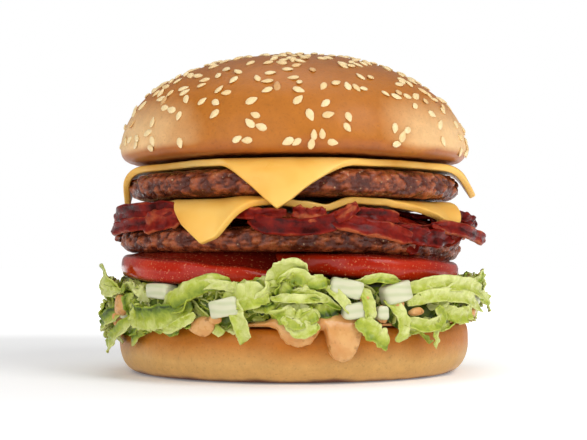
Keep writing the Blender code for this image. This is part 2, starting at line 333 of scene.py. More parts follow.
def shapeCrown():
    bottom, top, widest = crownLow[2] + bun["lift"], crownHigh[2], crownLow[2] + 5.2
    outline = [(0, bottom + 0.4), (26, bottom + 0.3), (45, bottom), (51.4, bottom)]
    outline += [(53.6, bottom + 0.5), (54.8, bottom + 2.2)]
    for share in (0.0, 0.12, 0.25, 0.38, 0.5, 0.62, 0.73, 0.83, 0.91, 0.965, 0.992):
        across = (1 - share ** bun["domePower"]) ** (1 / bun["domePower"])
        outline.append((crownWide * across, widest + (top - widest) * share))
    bm = rounded(spun(outline + [(0, top)], bun["steps"]), 2)
    paleAndLitLayer = bm.verts.layers.float.new("pale")
    for vert in bm.verts:
        x, y, z = vert.co
        share = (z - bottom) / (top - bottom)
        angle = math.atan2(y, x)
        swell = 0.8 * bumps(x, y, z, 34, 1.3) + 0.3 * bumps(x, y, z, 12, 4.1)
        # faint upright creases in the skin, strongest low down
        crease = bumps(angle * 26, z * 0.10, 0, 1, 2.2) * ease(share, 0.02, 0.12)
        crease *= 1 - ease(share, 0.22, 0.55)
        outward = vert.normal * (swell * ease(share, 0.0, 0.15) + 0.22 * crease)
        flatLow = 1 - ease(share, 0.0, 0.03)
        crumb = 0.35 * bumps(x, y, z, 2.2, 7.7) * flatLow * (math.hypot(x, y) > 30)
        vert.co += outward + Vector((0, 0, crumb))
        vert.co.x += bun["lean"] * share**3
        # paler low band at left and right only: partly paler baked skin, partly a painted highlight
        # where the side lamps fall
        paleAndLitFlanks = ease(abs(math.cos(angle)), 0.3, 0.9)
        vert[paleAndLitLayer] = ease(share, 0.03, 0.12) * (1 - ease(share, 0.2, 0.66)) * paleAndLitFlanks
    faceOut(bm)
    return bm


def shapeHeel():
    wide, top = heelWide, heelHigh[2]
    outline = [(0, 0), (26, 0), (47.5, 0), (50.2, 0.25), (52.6, 1.5), (54.6, 4.2), (wide, 8.0)]
    outline += [(wide + 0.1, 11), (wide, 13.6), (54.7, 15.3), (53.0, top), (26, top), (0, top)]
    bm = rounded(spun(outline, bun["steps"]), 2)
    for vert in bm.verts:
        x, y, z = vert.co
        angle = math.atan2(y, x)
        side = ease(z, 0.4, 4) * (1 - ease(z, 14.5, 15.8))
        swell = 0.5 * bumps(x, y, z, 22, 3.7) + 0.2 * bumps(x, y, z, 7, 6.0)
        wrinkle = 0.16 * bumps(angle * 30, z * 0.12, 0, 1, 9.1)
        vert.co += Vector((x, y, 0)).normalized() * side * (swell + wrinkle - 0.3)
        vert.co.z = max(vert.co.z, 0.0)
    faceOut(bm)
    return bm


crownMesh = shapeCrown()
crownTree = BVHTree.FromBMesh(crownMesh)
placePiece("bunCrown", crownMesh, crownCrust, ["crown"])
placePiece("bunHeel", shapeHeel(), heelCrust, ["heel"])
print("bun shaped")

# ---- sesame seeds

seeds = {
    "count": 430,
    "length": 3.3,
    "width": 2.1,
    "height": 0.95,
    "closest": 2.2,
    "pale": "#EAD3A2",
    "middle": "#E0BE85",
    "toasted": "#C08A50",
}


def seedMaterial():
    material, tree, shader, place = startMaterial(
        "sesameHull",  # matt cream hull, some toasted
        {
            "Roughness": 0.42,
            "IOR": 1.45,
            "Subsurface Weight": 0.1,
            "Subsurface Scale": 0.001,
            "Subsurface Radius": (1.0, 0.7, 0.4),
        },
   )
    toast = addNode(tree, "Attribute", {"attribute_name": "toast"}, output="Fac")
    stops = [(0.0, "pale"), (0.6, "middle"), (1.0, "toasted")]
    colour = addNode(
        tree,
        "ValToRGB",
        {"stops": [(at, toLinear(seeds[tone])) for at, tone in stops]},
        {"Fac": toast},
   )
    grain = addNode(tree, "TexNoise", {"Scale": perMm(0.8), "Detail": 2}, {"Vector": place})
    fleck = addNode(tree, "ValToRGB", {"stops": [(0.3, 0.84), (0.6, 1.0)]}, {"Fac": grain})
    mixed = addNode(
        tree,
        "Mix",
        {"data_type": "RGBA", "blend_type": "MULTIPLY", 0: 0.7},
        {6: colour, 7: fleck},
        output=2,
   )
    tree.links.new(mixed, shader.inputs["Base Color"])
    bump = addNode(tree, "Bump", {"Strength": 0.2, "Distance": 0.05 * mm}, {"Height": grain})
    tree.links.new(bump, shader.inputs["Normal"])
    return material


def shapeSeed():
    bm = bmesh.new()
    bmesh.ops.create_uvsphere(bm, u_segments=10, v_segments=7, radius=0.5)
    for vert in bm.verts:
        x, y, z = vert.co
        taper = 1.0 - 0.42 * ease(x, -0.1, 0.5)  # drop shape, one end pointed
        wide = y * seeds["width"] * taper
        vert.co = Vector((x * seeds["length"], wide, z * seeds["height"] * taper))
    mesh = bpy.data.meshes.new("oneSeed")
    bm.to_mesh(mesh)
    bm.free()
    return mesh


def addSeed(bm, toastLayer, oneSeed, at, normal, turn, size, toast):
    before = len(bm.verts)
    bm.from_mesh(oneSeed)
    bm.verts.ensure_lookup_table()
    made = bm.verts[before:]
    for vert in made:
        vert[toastLayer] = toast
    upright = normal.to_track_quat("Z", "Y").to_matrix().to_4x4()
    matrix = Matrix.Translation(at + normal * 0.2) @ upright @ Matrix.Rotation(turn, 4, "Z")
    matrix = matrix @ Matrix.Diagonal((size, size, 1, 1))
    bmesh.ops.transform(bm, matrix=matrix, verts=made)


def scatterSeeds():
    rng = random.Random(41)
    bm = bmesh.new()
    toastLayer = bm.verts.layers.float.new("toast")
    oneSeed = shapeSeed()
    taken = []
    centre = Vector((0, 0, crownLow[2] + 3))
    tries = 0
    while len(taken) < seeds["count"] and tries < 20000:
        tries += 1
        turn = rng.uniform(0, math.tau)
        rise = math.asin(rng.uniform(0.0, 1.0))
        flat = Vector((math.cos(turn), math.sin(turn), 0)) * math.cos(rise)
        way = flat + Vector((0, 0, math.sin(rise)))
        hit, normal, _, _ = crownTree.ray_cast(centre + way * 120, -way)
        if hit is None:
            continue
        spread = ((hit - centre).length / 58) ** 2 / max(0.3, normal.dot(way))
        sparse = 0.7 + 0.3 * ease(math.degrees(rise), 12, 30)
        clump = 0.55 + 0.45 * ease(bumps(hit.x, hit.y, hit.z, 9, 3.3), -0.25, 0.2)
        if rng.random() > spread * sparse * clump:
            continue
        if any((hit - other).length < seeds["closest"] for other in taken):
            continue
        taken.append(hit)
        tilt = Vector((rng.gauss(0, 0.12), rng.gauss(0, 0.12), rng.gauss(0, 0.12)))
        toast = min(1.0, abs(rng.gauss(0.1, 0.3)))
        size = rng.uniform(0.95, 1.2)
        facing = (normal + tilt).normalized()
        addSeed(bm, toastLayer, oneSeed, hit, facing, rng.uniform(0, math.tau), size, toast)
    faceOut(bm)
    print("seeds:", len(taken))
    return bm


seedHull = seedMaterial()
placePiece("sesameSeeds", scatterSeeds(), seedHull)

# ---- patties

beefLook = {
    # the first colour is painted shade in the pits, the third a painted highlight on the lump tops
    "crust": "#562210",
    "brown": "#984A26",
    "light": "#A8653A",
    "fatSpeck": "#CDAA80",
    "steps": 80,
    "lump": 1.9,
}
pattyUnder = [(-54, 37.0), (0, 37.4), (18, 37.1), (35, 35.8), (56, 33.8)]
upperUnder = [(-54, 53.2), (56, 53.2)]
leftUnder = [(-54, 29.4), (-35, 28.0), (-17, 26.8), (0, 25.6), (20, 24.6)]
leftOver = [(-54, 36.9), (-35, 35.6), (-17, 33.7), (0, 32.0), (20, 31.0)]
rightUnder = [(-18, 33.2), (0, 31.0), (18, 29.6), (35, 28.4), (52, 27.2)]
rightOver = [(-18, 37.3), (0, 37.3), (18, 37.0), (35, 35.9), (52, 34.4)]


def beefMaterial():
    material, tree, shader, place = startMaterial(
        "griddledBeef",  # coarse minced meat, wet fat glinting; the colour is painted dark in the pits as shade and paler on the lump tops as highlight
        {
            "Roughness": 0.4,
            "IOR": 1.45,
            "Specular IOR Level": 0.34,
            "Coat Weight": 0.16,
            "Coat Roughness": 0.14,
        },
   )
    # the relief value paints the colour: crust in the pits is painted shade, light on the lump tops
    # is a painted highlight
    crag = addNode(tree, "Attribute", {"attribute_name": "crag"}, output="Fac")
    stops = [(0.12, "crust"), (0.42, "brown"), (0.9, "light")]
    meat = addNode(
        tree,
        "ValToRGB",
        {"stops": [(at, toLinear(beefLook[tone])) for at, tone in stops]},
        {"Fac": crag},
   )
    cloud = addNode(
        tree, "TexNoise", {"Scale": perMm(1.8), "Detail": 5, "Roughness": 0.7}, {"Vector": place}
   )
    shade = addNode(tree, "ValToRGB", {"stops": [(0.32, 0.66), (0.7, 1.3)]}, {"Fac": cloud})
    colour = addNode(
        tree,
        "Mix",
        {"data_type": "RGBA", "blend_type": "MULTIPLY", 0: 1.0},
        {6: meat, 7: shade},
        output=2,
   )
    # pale specks: partly bits of fat, partly painted glints
    cell = addNode(tree, "TexVoronoi", {"Scale": perMm(1.4)}, {"Vector": place})
    speck = addNode(tree, "ValToRGB", {"stops": [(0.14, 1.0), (0.22, 0.0)]}, {"Fac": cell})
    fine = addNode(
        tree, "TexNoise", {"Scale": perMm(0.8), "Detail": 4, "Roughness": 0.7}, {"Vector": place}
   )
    chosen = addNode(tree, "ValToRGB", {"stops": [(0.5, 0.0), (0.62, 0.9)]}, {"Fac": cloud})
    mask = addNode(tree, "Math", {"operation": "MULTIPLY"}, {0: speck, 1: chosen})
    colour = addNode(
        tree,
        "Mix",
        {"data_type": "RGBA", 7: toLinear(beefLook["fatSpeck"])},
        {0: mask, 6: colour},
        output=2,
   )
    tree.links.new(colour, shader.inputs["Base Color"])
    wet = addNode(
        tree,
        "MapRange",
        {"From Min": 0.38, "From Max": 0.62, "To Min": 0.13, "To Max": 0.55},
        {"Value": cloud},
   )
    tree.links.new(wet, shader.inputs["Roughness"])
    bump = addNode(tree, "Bump", {"Strength": 0.5, "Distance": 0.5 * mm}, {"Height": cell})
    bump = addNode(
        tree, "Bump", {"Strength": 0.8, "Distance": 0.4 * mm}, {"Height": fine, "Normal": bump}
   )
    tree.links.new(bump, shader.inputs["Normal"])
    return material


def shapePatty(node, under, seed):
    low, high = boxOf(node)
    middle = (low[0] + high[0]) / 2 - 0.6
    radius = (high[0] - low[0]) / 2 + 0.5
    top = high[2] - 0.05
    outline = [(0, 0), (0.82, 0), (0.93, 0.03), (0.975, 0.16), (0.995, 0.4)]
    outline += [(0.99, 0.66), (0.965, 0.86), (0.915, 0.98), (0.8, 1.0), (0, 1.0)]
    bm = rounded(spun([(r * 50, z * 10) for r, z in outline], beefLook["steps"]), 3)
    cragLayer = bm.verts.layers.float.new("crag")
    for vert in bm.verts:
        share = vert.co.z / 10
        across = math.hypot(vert.co.x, vert.co.y) / 50
        angle = math.atan2(vert.co.y, vert.co.x)
        ragged = bumps(math.cos(angle) * 3, math.sin(angle) * 3, 0, 1, seed)
        edge = radius + 0.8 * ragged
        x, y = across * edge * math.cos(angle), across * edge * math.sin(angle)
        bottom = between(under, x)
        z = blend(bottom, top, share)
        side = ease(across, 0.84, 0.95)
        lumps = 1 - noise.voronoi(Vector((x / 3.4 + seed, y / 3.4, z / 2.4)))[0][0] * 1.35
        small = 1 - noise.voronoi(Vector((x / 1.5, y / 1.5 + seed, z / 1.2)))[0][0] * 1.35
        crag = 0.6 * lumps + 0.25 * small + 0.3 * bumps(x, y, z, 6.0, seed + 5)
        crag += 0.18 * bumps(x, y, z, 1.1, seed + 3)
        smear = 0.6 + 0.4 * ease(share, 0.1, 0.5)  # pressed smoother low down
        out = Vector((math.cos(angle), math.sin(angle), 0))
        vert.co = Vector((x, y, z)) + out * beefLook["lump"] * (crag - 0.55) * side * smear
        upper = ease(across, 0.6, 0.9) * ease(share, 0.7, 1.0)
        vert.co.z += (0.4 * (crag - 0.5) - 0.25) * upper
        lower = side * (1 - ease(share, 0.0, 0.5))
        vert.co.z -= 0.7 * max(0, bumps(x, y, 0, 7, seed + 8)) * lower
        vert.co.x += middle
        # the relief is kept for the colour, which paints shade in the pits and highlight on the
        # lumps
        vert[cragLayer] = min(1.0, max(0.0, crag))
    faceOut(bm)
    return bm


beef = beefMaterial()
lowerPatty = shapePatty("lower_patty", pattyUnder, 2.0)
placePiece("pattyLower", lowerPatty, beef, ["lower_patty"])
placePiece("pattyUpper", shapePatty("upper_patty", upperUnder, 11.0), beef, ["upper_patty"])
print("patties shaped")

# ---- soft sheets that bend down over the edge below them


def droopAt(stops, turn):
    # stops hold degrees round the stack, edge radius and steepest slope
    closed = stops + [(stops[0][0] + 360, stops[0][1], stops[0][2])]
    turn = turn % 360
    for (d0, e0, s0), (d1, e1, s1) in zip(closed, closed[1:]):
        if turn <= d1:
            share = ease(turn, d0, d1)
            return blend(e0, e1, share), math.radians(blend(s0, s1, share))
    return stops[0][1], math.radians(stops[0][2])


def bendOver(x, y, level, lift, bend, stops):
    radius = math.hypot(x, y)
    if radius < 1:
        return Vector((x, y, level + lift))
    edge, slope = droopAt(stops, math.degrees(math.atan2(y, x)))
    past = radius - edge
    if past <= 0:
        return Vector((x, y, level + lift))
    arc = bend + lift * 0.5
    turned = min(past / arc, slope)
    straight = max(0.0, past - arc * slope)
    out = edge + (bend + lift) * math.sin(turned) + straight * math.cos(turned)
    down = (bend + lift) * (1 - math.cos(turned)) + straight * math.sin(turned)
    return Vector((x * out / radius, y * out / radius, level + lift - down))


# ---- cheese

cheese = {
    "side": 88.0,
    "thick": 2.1,
    "yellow": "#EAB656",
    "light": "#EFC36A",
    "deep": "#DC9C38",
    "cells": 90,
    "edge": 0.55,
}
upperDroop = [(0, 49.0, 62), (45, 50.0, 50), (90, 49.2, 76), (135, 50.0, 50)]
upperDroop += [(180, 47.5, 86), (225, 50.0, 60), (266, 48.9, 82), (310, 50.0, 62)]
lowerDroop = [(0, 52.0, 22), (60, 52.0, 42), (110, 52.0, 30), (150, 52.0, 42)]
lowerDroop += [(180, 52.0, 20), (220, 51.0, 30), (231, 47.4, 74), (247, 47.2, 76)]
lowerDroop += [(258, 50.2, 42), (290, 50.4, 42), (300, 49.4, 48), (307, 45.6, 70)]
lowerDroop += [(330, 44.6, 74), (344, 50.5, 30)]


def cheeseMaterial():
    material, tree, shader, place = startMaterial(
        "meltedCheese",  # warm waxy slices, soft gloss that comes and goes
        {
            "Roughness": 0.36,
            "IOR": 1.45,
            "Specular IOR Level": 0.4,
            "Subsurface Weight": 0.16,
            "Subsurface Scale": 0.0025,
            "Subsurface Radius": (1.0, 0.6, 0.2),
        },
   )
    cloud = addNode(tree, "TexNoise", {"Scale": perMm(18), "Detail": 3}, {"Vector": place})
    stops = [(0.3, "deep"), (0.5, "yellow"), (0.72, "light")]
    colour = addNode(
        tree,
        "ValToRGB",
        {"stops": [(at, toLinear(cheese[tone])) for at, tone in stops]},
        {"Fac": cloud},
   )
    tree.links.new(colour, shader.inputs["Base Color"])
    soft = addNode(tree, "TexNoise", {"Scale": perMm(7), "Detail": 3}, {"Vector": place})
    gloss = addNode(
        tree,
        "MapRange",
        {"From Min": 0.3, "From Max": 0.7, "To Min": 0.26, "To Max": 0.48},
        {"Value": soft},
   )
    tree.links.new(gloss, shader.inputs["Roughness"])
    bump = addNode(tree, "Bump", {"Strength": 0.12, "Distance": 0.5 * mm}, {"Height": soft})
    tree.links.new(bump, shader.inputs["Normal"])
    return material


def shapeCheese(cut, level, stops, ripple):
    half = cheese["side"] / 2
    cosine, sine = math.cos(math.radians(cut["turn"])), math.sin(math.radians(cut["turn"]))
    bm = bmesh.new()
    bmesh.ops.create_grid(bm, x_segments=cheese["cells"], y_segments=cheese["cells"], size=1.0)
    for vert in bm.verts:
        u, v = vert.co.x, vert.co.y
        reach = 1 - 0.014 * max(0.0, abs(u) + abs(v) - 1.88) / 0.12  # very tip rounded off
        for corner, extra in cut["corners"].items():
            reach += extra * ease(u * corner[0] + v * corner[1], 0.9, 2.0)
        bulge = 1 + cut["bulge"] * (1 - u * u) * (v < 0)  # this side has spread as it melted
        edge = max(abs(u), abs(v))
        wobble = 0.35 * edge**4 * bumps(u * 4, v * 4, 0, 1, cut["turn"])
        across, along = u * half * reach + wobble, v * half * reach * bulge - wobble
        at = bendOver(
            cut["middle"][0] + across * cosine - along * sine,
            cut["middle"][1] + across * sine + along * cosine,
            level,
            cut["lift"],
            cut["bend"],
            stops,
       )
        at.z += ripple(at)
        vert.co = at
    if sum(face.normal.z for face in bm.faces) < 0:
        bmesh.ops.reverse_faces(bm, faces=bm.faces[:])
    bm.normal_update()
    solidify = {"thickness": cheese["thick"], "offset": 1.0}
    bevel = {"width": cheese["edge"], "segments": 3, "limit_method": "ANGLE", "angle_limit": 0.9}
    bm = withModifiers(bm, [("SOLIDIFY", solidify), ("BEVEL", bevel)])
    faceOut(bm)
    return bm


def upperRipple(at):
    radius = math.hypot(at.x, at.y)
    return 0.25 * bumps(at.x, at.y, 0, 14, 2.0) * ease(radius, 20, 44) - 0.1


def lowerRipple(at):
    front = ease(-at.y, 24, 38) * (1 - ease(-at.y, 54, 58))
    back = ease(at.y, 10, 34)
    return between(frontDip, at.x) * front + 0.8 * bumps(at.x, at.y, 0, 11, 6.0) * back


frontDip = [(-22, 0), (-14, 0.6), (-6, 0.2), (3, -0.9), (9, -1.8), (17, 0.5), (25, 0.2), (34, -0.2)]
upperSlice = {
    "middle": (-0.6, -1.4),
    "turn": 40.5,
    "lift": 0.3,
    "bend": 4.2,
    "bulge": 0.07,
    "corners": {(-1, -1): 0.025, (1, -1): -0.01, (-1, 1): -0.03},
}
lowerSlice = {
    "middle": (-1.5, 1.5),
    "turn": 20.0,
    "lift": 5.5,
    "bend": 3.0,
    "bulge": 0.14,
    "corners": {(-1, -1): -0.01, (1, -1): -0.09},
}
upperLevel = boxOf("upper_patty")[1][2]
lowerLevel = boxOf("lower_patty")[1][2]
cheddar = cheeseMaterial()
upperCheese = shapeCheese(upperSlice, upperLevel, upperDroop, upperRipple)
lowerCheese = shapeCheese(lowerSlice, lowerLevel, lowerDroop, lowerRipple)
placePiece("cheeseUpper", upperCheese, cheddar, ["upper_cheese"])
placePiece("cheeseLower", lowerCheese, cheddar, ["lower_cheese"])
print("cheese draped")

# ---- ribbons, for lettuce shreds and for the loose folds of bacon


def alongPath(points, share):
    # smooth curve through the points
    last = len(points) - 1
    place = min(share, 0.9999) * last
    i = int(place)
    t = place - i
    p1, p2 = points[i], points[i + 1]
    p0 = points[i - 1] if i > 0 else p1 * 2 - p2
    p3 = points[i + 2] if i + 2 <= last else p2 * 2 - p1
    a = (p1 * 2) + (p2 - p0) * t
    b = (p0 * 2 - p1 * 5 + p2 * 4 - p3) * t * t
    c = (p1 * 3 - p0 - p2 * 3 + p3) * t * t * t
    return (a + b + c) / 2


def ribbon(width, tone, *path, **look):
    # a path's stops give degrees round the burger (270 is the front), distance out and height
    return {"width": width, "tone": tone, "path": path, **look}


def addRibbon(bm, toneLayer, look, toneAt):
    # a strip that follows a path, rolls, cups and frills; its flat side faces outwards
    points = [polar(*stop) for stop in look["path"]]
    seed = look["seed"]
    rows, columns = look.get("rows", 6), look.get("columns", 22)
    made = bmesh.ops.create_grid(bm, x_segments=columns, y_segments=rows, size=1.0)["verts"]
    cut = look.get("cut", 0.0)
    for vert in made:
        u, v = vert.co.x, vert.co.y
        share = (u + 1) / 2
        share = share + cut * v * (share - 0.5) * 0.3
        share = min(1.0, max(0.0, share))
        at = alongPath(points, share)
        ahead = alongPath(points, min(1, share + 0.02)) - alongPath(points, max(0, share - 0.02))
        ahead.normalize()
        outward = Vector((at.x, at.y, 0)).normalized()
        flat = ahead.cross(outward)
        flat = flat.normalized() if flat.length > 0.05 else Vector((0, 0, 1))
        roll = math.radians(blend(look.get("roll", 0), look.get("rollEnd", 0), share))
        across = Matrix.Rotation(roll, 3, ahead) @ flat
        face = across.cross(ahead).normalized()
        ends = 1 - look.get("taper", 0.5) * ease(abs(u), 0.6, 1.0) ** 2
        fray = 1 + look.get("fray", 0.15) * bumps(share * 11, v * 0.8, 0, 1, seed)
        fray += look.get("fray", 0.15) * 0.6 * bumps(share * 31, v * 0.8, 0, 1, seed + 4)
        waves = look.get("waves", 3.0) * math.tau
        wave = math.sin(share * waves + seed * 5 + v * 0.8) * abs(v) ** 1.5
        wave += 0.6 * bumps(share * 9, v * 2.5, 0, 1, seed + 1)
        crinkle = look.get("crinkle", 0.0) * bumps(at.x, at.y, at.z, 1.5, seed + v)
        push = look.get("cup", 0.5) * abs(v) + look.get("ruffle", 0.3) * wave + crinkle
        vert.co = at + across * (v * look["width"] / 2 * ends * fray) + face * push
        vert[toneLayer] = min(1.0, max(0.0, toneAt(look, share, v)))


# ---- bacon

baconLook = {
    "dark": "#340603",
    "lean": "#6C0E06",
    "pink": "#84200F",
    "fat": "#A8532F",
    "thick": 1.5,
    "bend": 3.0,
    "columns": 110,
    "rows": 20,
}


def baconMaterial():
    material, tree, shader, place = startMaterial(
        "friedBacon",  # deep red lean with pink fat streaks, greasy shine
        {
            "Roughness": 0.34,
            "IOR": 1.45,
            "Specular IOR Level": 0.12,
            "Coat Weight": 0.03,
            "Coat Roughness": 0.16,
            "Subsurface Weight": 0.03,
            "Subsurface Scale": 0.0015,
            "Subsurface Radius": (1.0, 0.3, 0.2),
        },
   )
    fat = addNode(tree, "Attribute", {"attribute_name": "tone"}, output="Fac")
    blotch = addNode(
        tree, "TexNoise", {"Scale": perMm(4.5), "Detail": 4, "Roughness": 0.6}, {"Vector": place}
   )
    shift = addNode(
        tree,
        "MapRange",
        {"From Min": 0.3, "From Max": 0.7, "To Min": -0.3, "To Max": 0.3},
        {"Value": blotch},
   )
    level = addNode(tree, "Math", {"operation": "ADD"}, {0: fat, 1: shift})
    stops = [(0.0, "dark"), (0.35, "lean"), (0.7, "pink"), (1.0, "fat")]
    colour = addNode(
        tree,
        "ValToRGB",
        {"stops": [(at, toLinear(baconLook[tone])) for at, tone in stops]},
        {"Fac": level},
   )
    fine = addNode(tree, "TexNoise", {"Scale": perMm(1.3), "Detail": 3}, {"Vector": place})
    shade = addNode(tree, "ValToRGB", {"stops": [(0.3, 0.7), (0.7, 1.12)]}, {"Fac": fine})
    mixed = addNode(
        tree,
        "Mix",
        {"data_type": "RGBA", "blend_type": "MULTIPLY", 0: 1.0},
        {6: colour, 7: shade},
        output=2,
   )
    tree.links.new(mixed, shader.inputs["Base Color"])
    gloss = addNode(
        tree,
        "MapRange",
        {"From Min": 0.35, "From Max": 0.65, "To Min": 0.2, "To Max": 0.5},
        {"Value": blotch},
   )
    tree.links.new(gloss, shader.inputs["Roughness"])
    bump = addNode(tree, "Bump", {"Strength": 0.5, "Distance": 0.5 * mm}, {"Height": blotch})
    bump = addNode(
        tree, "Bump", {"Strength": 0.4, "Distance": 0.2 * mm}, {"Height": fine, "Normal": bump}
   )
    tree.links.new(bump, shader.inputs["Normal"])
    return material


def addStrip(bm, toneLayer, strip):
    # a whole strip lies along a line under the cheese and ripples as it goes
    start, end = Vector(strip["start"]), Vector(strip["end"])
    along = end - start
    side = Vector((-along.y, along.x)).normalized()
    seed = strip["seed"]
    columns, rows = baconLook["columns"], baconLook["rows"]
    made = bmesh.ops.create_grid(bm, x_segments=columns, y_segments=rows, size=1.0)["verts"]
    for vert in made:
        u, v = vert.co.x, vert.co.y
        share = (u + 1) / 2
        fray = 0.08 * bumps(share * 24, v, 0, 1, seed) + 0.06 * bumps(share * 60, v, 0, 1, seed + 2)
        pull = 1 - 0.35 * (max(0, abs(v) - 0.5) ** 2) * ease(abs(u), 0.85, 1.0)
        sway = math.sin(share * math.tau * 1.3 + seed)
        at = start + along * (0.5 + (share - 0.5) * pull)
        at += side * (v * strip["width"] / 2 * (1 + fray) + sway)
        point = bendOver(at.x, at.y, lowerLevel, strip["lift"], baconLook["bend"], lowerDroop)
        wave = math.sin(share * strip["waves"] * math.tau + seed * 1.7 + v * 0.5)
        wave += 0.5 * math.sin(share * strip["waves"] * 1.9 * math.tau + seed)
        inside = 1 - ease(math.hypot(point.x, point.y), 50, 58)
        point.z += wave * strip["ripple"] * (0.6 + 0.4 * abs(v)) * (0.5 + 0.5 * inside)
        point.z += 0.3 * bumps(point.x, point.y, 0, 3, seed)
        vert.co = point
        streak = 0.5 + 0.5 * math.sin(v * 5 + seed + 2.2 * bumps(share * 5, v, 0, 1, seed))
        vert[toneLayer] = 0.15 + 0.6 * streak


def baconTone(look, share, v):
    streak = 0.5 + 0.5 * math.sin(v * 3.5 + look["seed"] * 3 + 2.0 * bumps(share * 4, v, 0, 1, 3))
    edge = 0.35 * ease(abs(v), 0.8, 1.0)
    return look["tone"] * (0.4 + 0.6 * streak) + edge


def shapeBacon(strip):
    bm = bmesh.new()
    toneLayer = bm.verts.layers.float.new("tone")
    addStrip(bm, toneLayer, strip)
    for number, fold in enumerate(strip["folds"]):
        shape = {"seed": number * 2.7 + 1, "rows": 8, "columns": 30, "fray": 0.2, "taper": 0.35}
        shape.update(fold)
        addRibbon(bm, toneLayer, shape, baconTone)
    bm = withModifiers(bm, [("SOLIDIFY", {"thickness": baconLook["thick"], "offset": 0.0})])
    bm = rounded(bm, 1)
    faceOut(bm)
    return bm


frontFolds = [
    ribbon(
        5.0, 0.3, (257, 54.5, 46.8), (263, 56.5, 44.8), (271, 57.5, 44.2), (279, 57, 45.2),
        (285, 55.5, 47.6), roll=-14, rollEnd=10, ruffle=0.3,
    ),
    ribbon(3.4, 0.5, (251, 53, 48.8), (259, 54.6, 48.0), (268, 54, 48.2), ruffle=0.4),
    ribbon(4.2, 0.95, (270, 55, 48.6), (274.6, 57.0, 47.6), (279.4, 56, 48.2), ruffle=0.8, waves=2),
    ribbon(
        3.6, 0.9, (279.5, 55, 45.8), (284, 57.4, 47.8), (288.5, 56.4, 50.4), roll=25, ruffle=0.4,
    ),
    ribbon(
        5.0, 0.6, (280, 56, 46.4), (288, 57.6, 44.8), (297, 58.0, 43.2), (306, 57.0, 41.2),
        roll=-20, rollEnd=-8, ruffle=0.5,
    ),
    ribbon(4.0, 0.5, (286, 54.5, 48.2), (294, 55.6, 47.8), (303, 54.6, 47.2), ruffle=0.3),
]
topRightFolds = [
    ribbon(
        5.2, 0.3, (300, 54.6, 43.6), (308, 56.4, 42.2), (317, 56, 41.4), (327, 55.4, 42.2),
        ruffle=1.1, waves=3.4, roll=12,
    ),
    ribbon(
        4.0, 0.6, (316, 55.6, 45.2), (329, 57.6, 44.0), (341, 59.2, 42.2), (349, 60.2, 40.8),
        roll=-20, rollEnd=25, ruffle=0.5, taper=0.8,
    ),
    ribbon(
        4.4, 0.4, (298, 52.6, 44.4), (308, 53.2, 43.6), (320, 53.0, 43.2), (334, 53, 44),
        ruffle=0.5,
    ),
    ribbon(
        3.4, 0.35, (336, 53, 49), (343, 56.0, 47.6), (350, 57.4, 46.2), roll=20, ruffle=0.6,
        taper=0.7,
    ),
    ribbon(
        4.6, 0.5, (338, 54, 46), (350, 56, 45.4), (362, 56.6, 43), roll=-30, ruffle=0.6,
        taper=0.7,
    ),
]
topLeftFolds = [
    ribbon(
        5.0, 0.35, (231, 51, 50), (220, 54.4, 49.6), (207, 56, 49.4), (195, 56.6, 48.0), roll=8,
        rollEnd=-10, ruffle=0.5, taper=0.85,
    ),
    ribbon(
        4.0, 0.5, (227, 53, 46.4), (214, 55.8, 45.8), (203, 57, 44.8), (194, 57.6, 43.6),
        roll=-14, rollEnd=12, ruffle=0.4, taper=0.85,
    ),
    ribbon(
        6.4, 0.75, (231, 50.6, 48), (226, 53.4, 47.0), (220, 55.0, 46.0), (214, 54, 46.2),
        ruffle=0.9, waves=2.0,
    ),
]
backFolds = [
    ribbon(
        6.5,
        0.3 + (turn % 5) * 0.14,
        (turn, 54, 47.5),
        (turn + 9, 57, 46 - (turn % 3)),
        (turn + 18, 57, 45.5),
        (turn + 26, 54.5, 48),
        ruffle=0.9,
        roll=(turn % 7) * 6 - 18,
   )
    for turn in (4, 26, 47, 71, 92, 114, 137, 158)
]
baconPieces = {
    "bacon_front": {
        "start": (-13, -43),
        "end": (39, -39),
        "width": 13,
        "lift": 2.4,
        "waves": 1.6,
        "ripple": 0.7,
        "seed": 0.4,
        "folds": frontFolds,
    },
    "bacon_middle": {
        "start": (-54, -11),
        "end": (53, -15),
        "width": 20,
        "lift": 1.4,
        "waves": 6,
        "ripple": 0.5,
        "seed": 2.1,
        "folds": [],
    },
    "bacon_back": {
        "start": (-52, 17),
        "end": (50, 15),
        "width": 23,
        "lift": 2.2,
        "waves": 6,
        "ripple": 0.9,
        "seed": 4.0,
        "folds": backFolds,
    },
    "bacon_top_left": {
        "start": (-53, -19),
        "end": (8, -14),
        "width": 18,
        "lift": 3.4,
        "waves": 4,
        "ripple": 0.6,
        "seed": 1.2,
        "folds": topLeftFolds,
    },
    "bacon_top_right": {
        "start": (16, -8),
        "end": (54, -19),
        "width": 20,
        "lift": 3.4,
        "waves": 4,
        "ripple": 0.6,
        "seed": 5.0,
        "folds": topRightFolds,
    },
}
friedBacon = baconMaterial()
for node, strip in baconPieces.items():
    placePiece(pieceName(node), shapeBacon(strip), friedBacon, [node])
print("bacon laid")

# ---- tomato

tomatoLook = {
    "skin": "#A41C06",
    "skinLight": "#B62C0C",
    "flesh": "#7A180C",
    "fleck": "#D98A5E",
    "halfWide": 34.5,
    "halfDeep": 43.0,
    "steps": 40,
    "domed": 37.6,  # the cut faces swell up to meet the patty
}


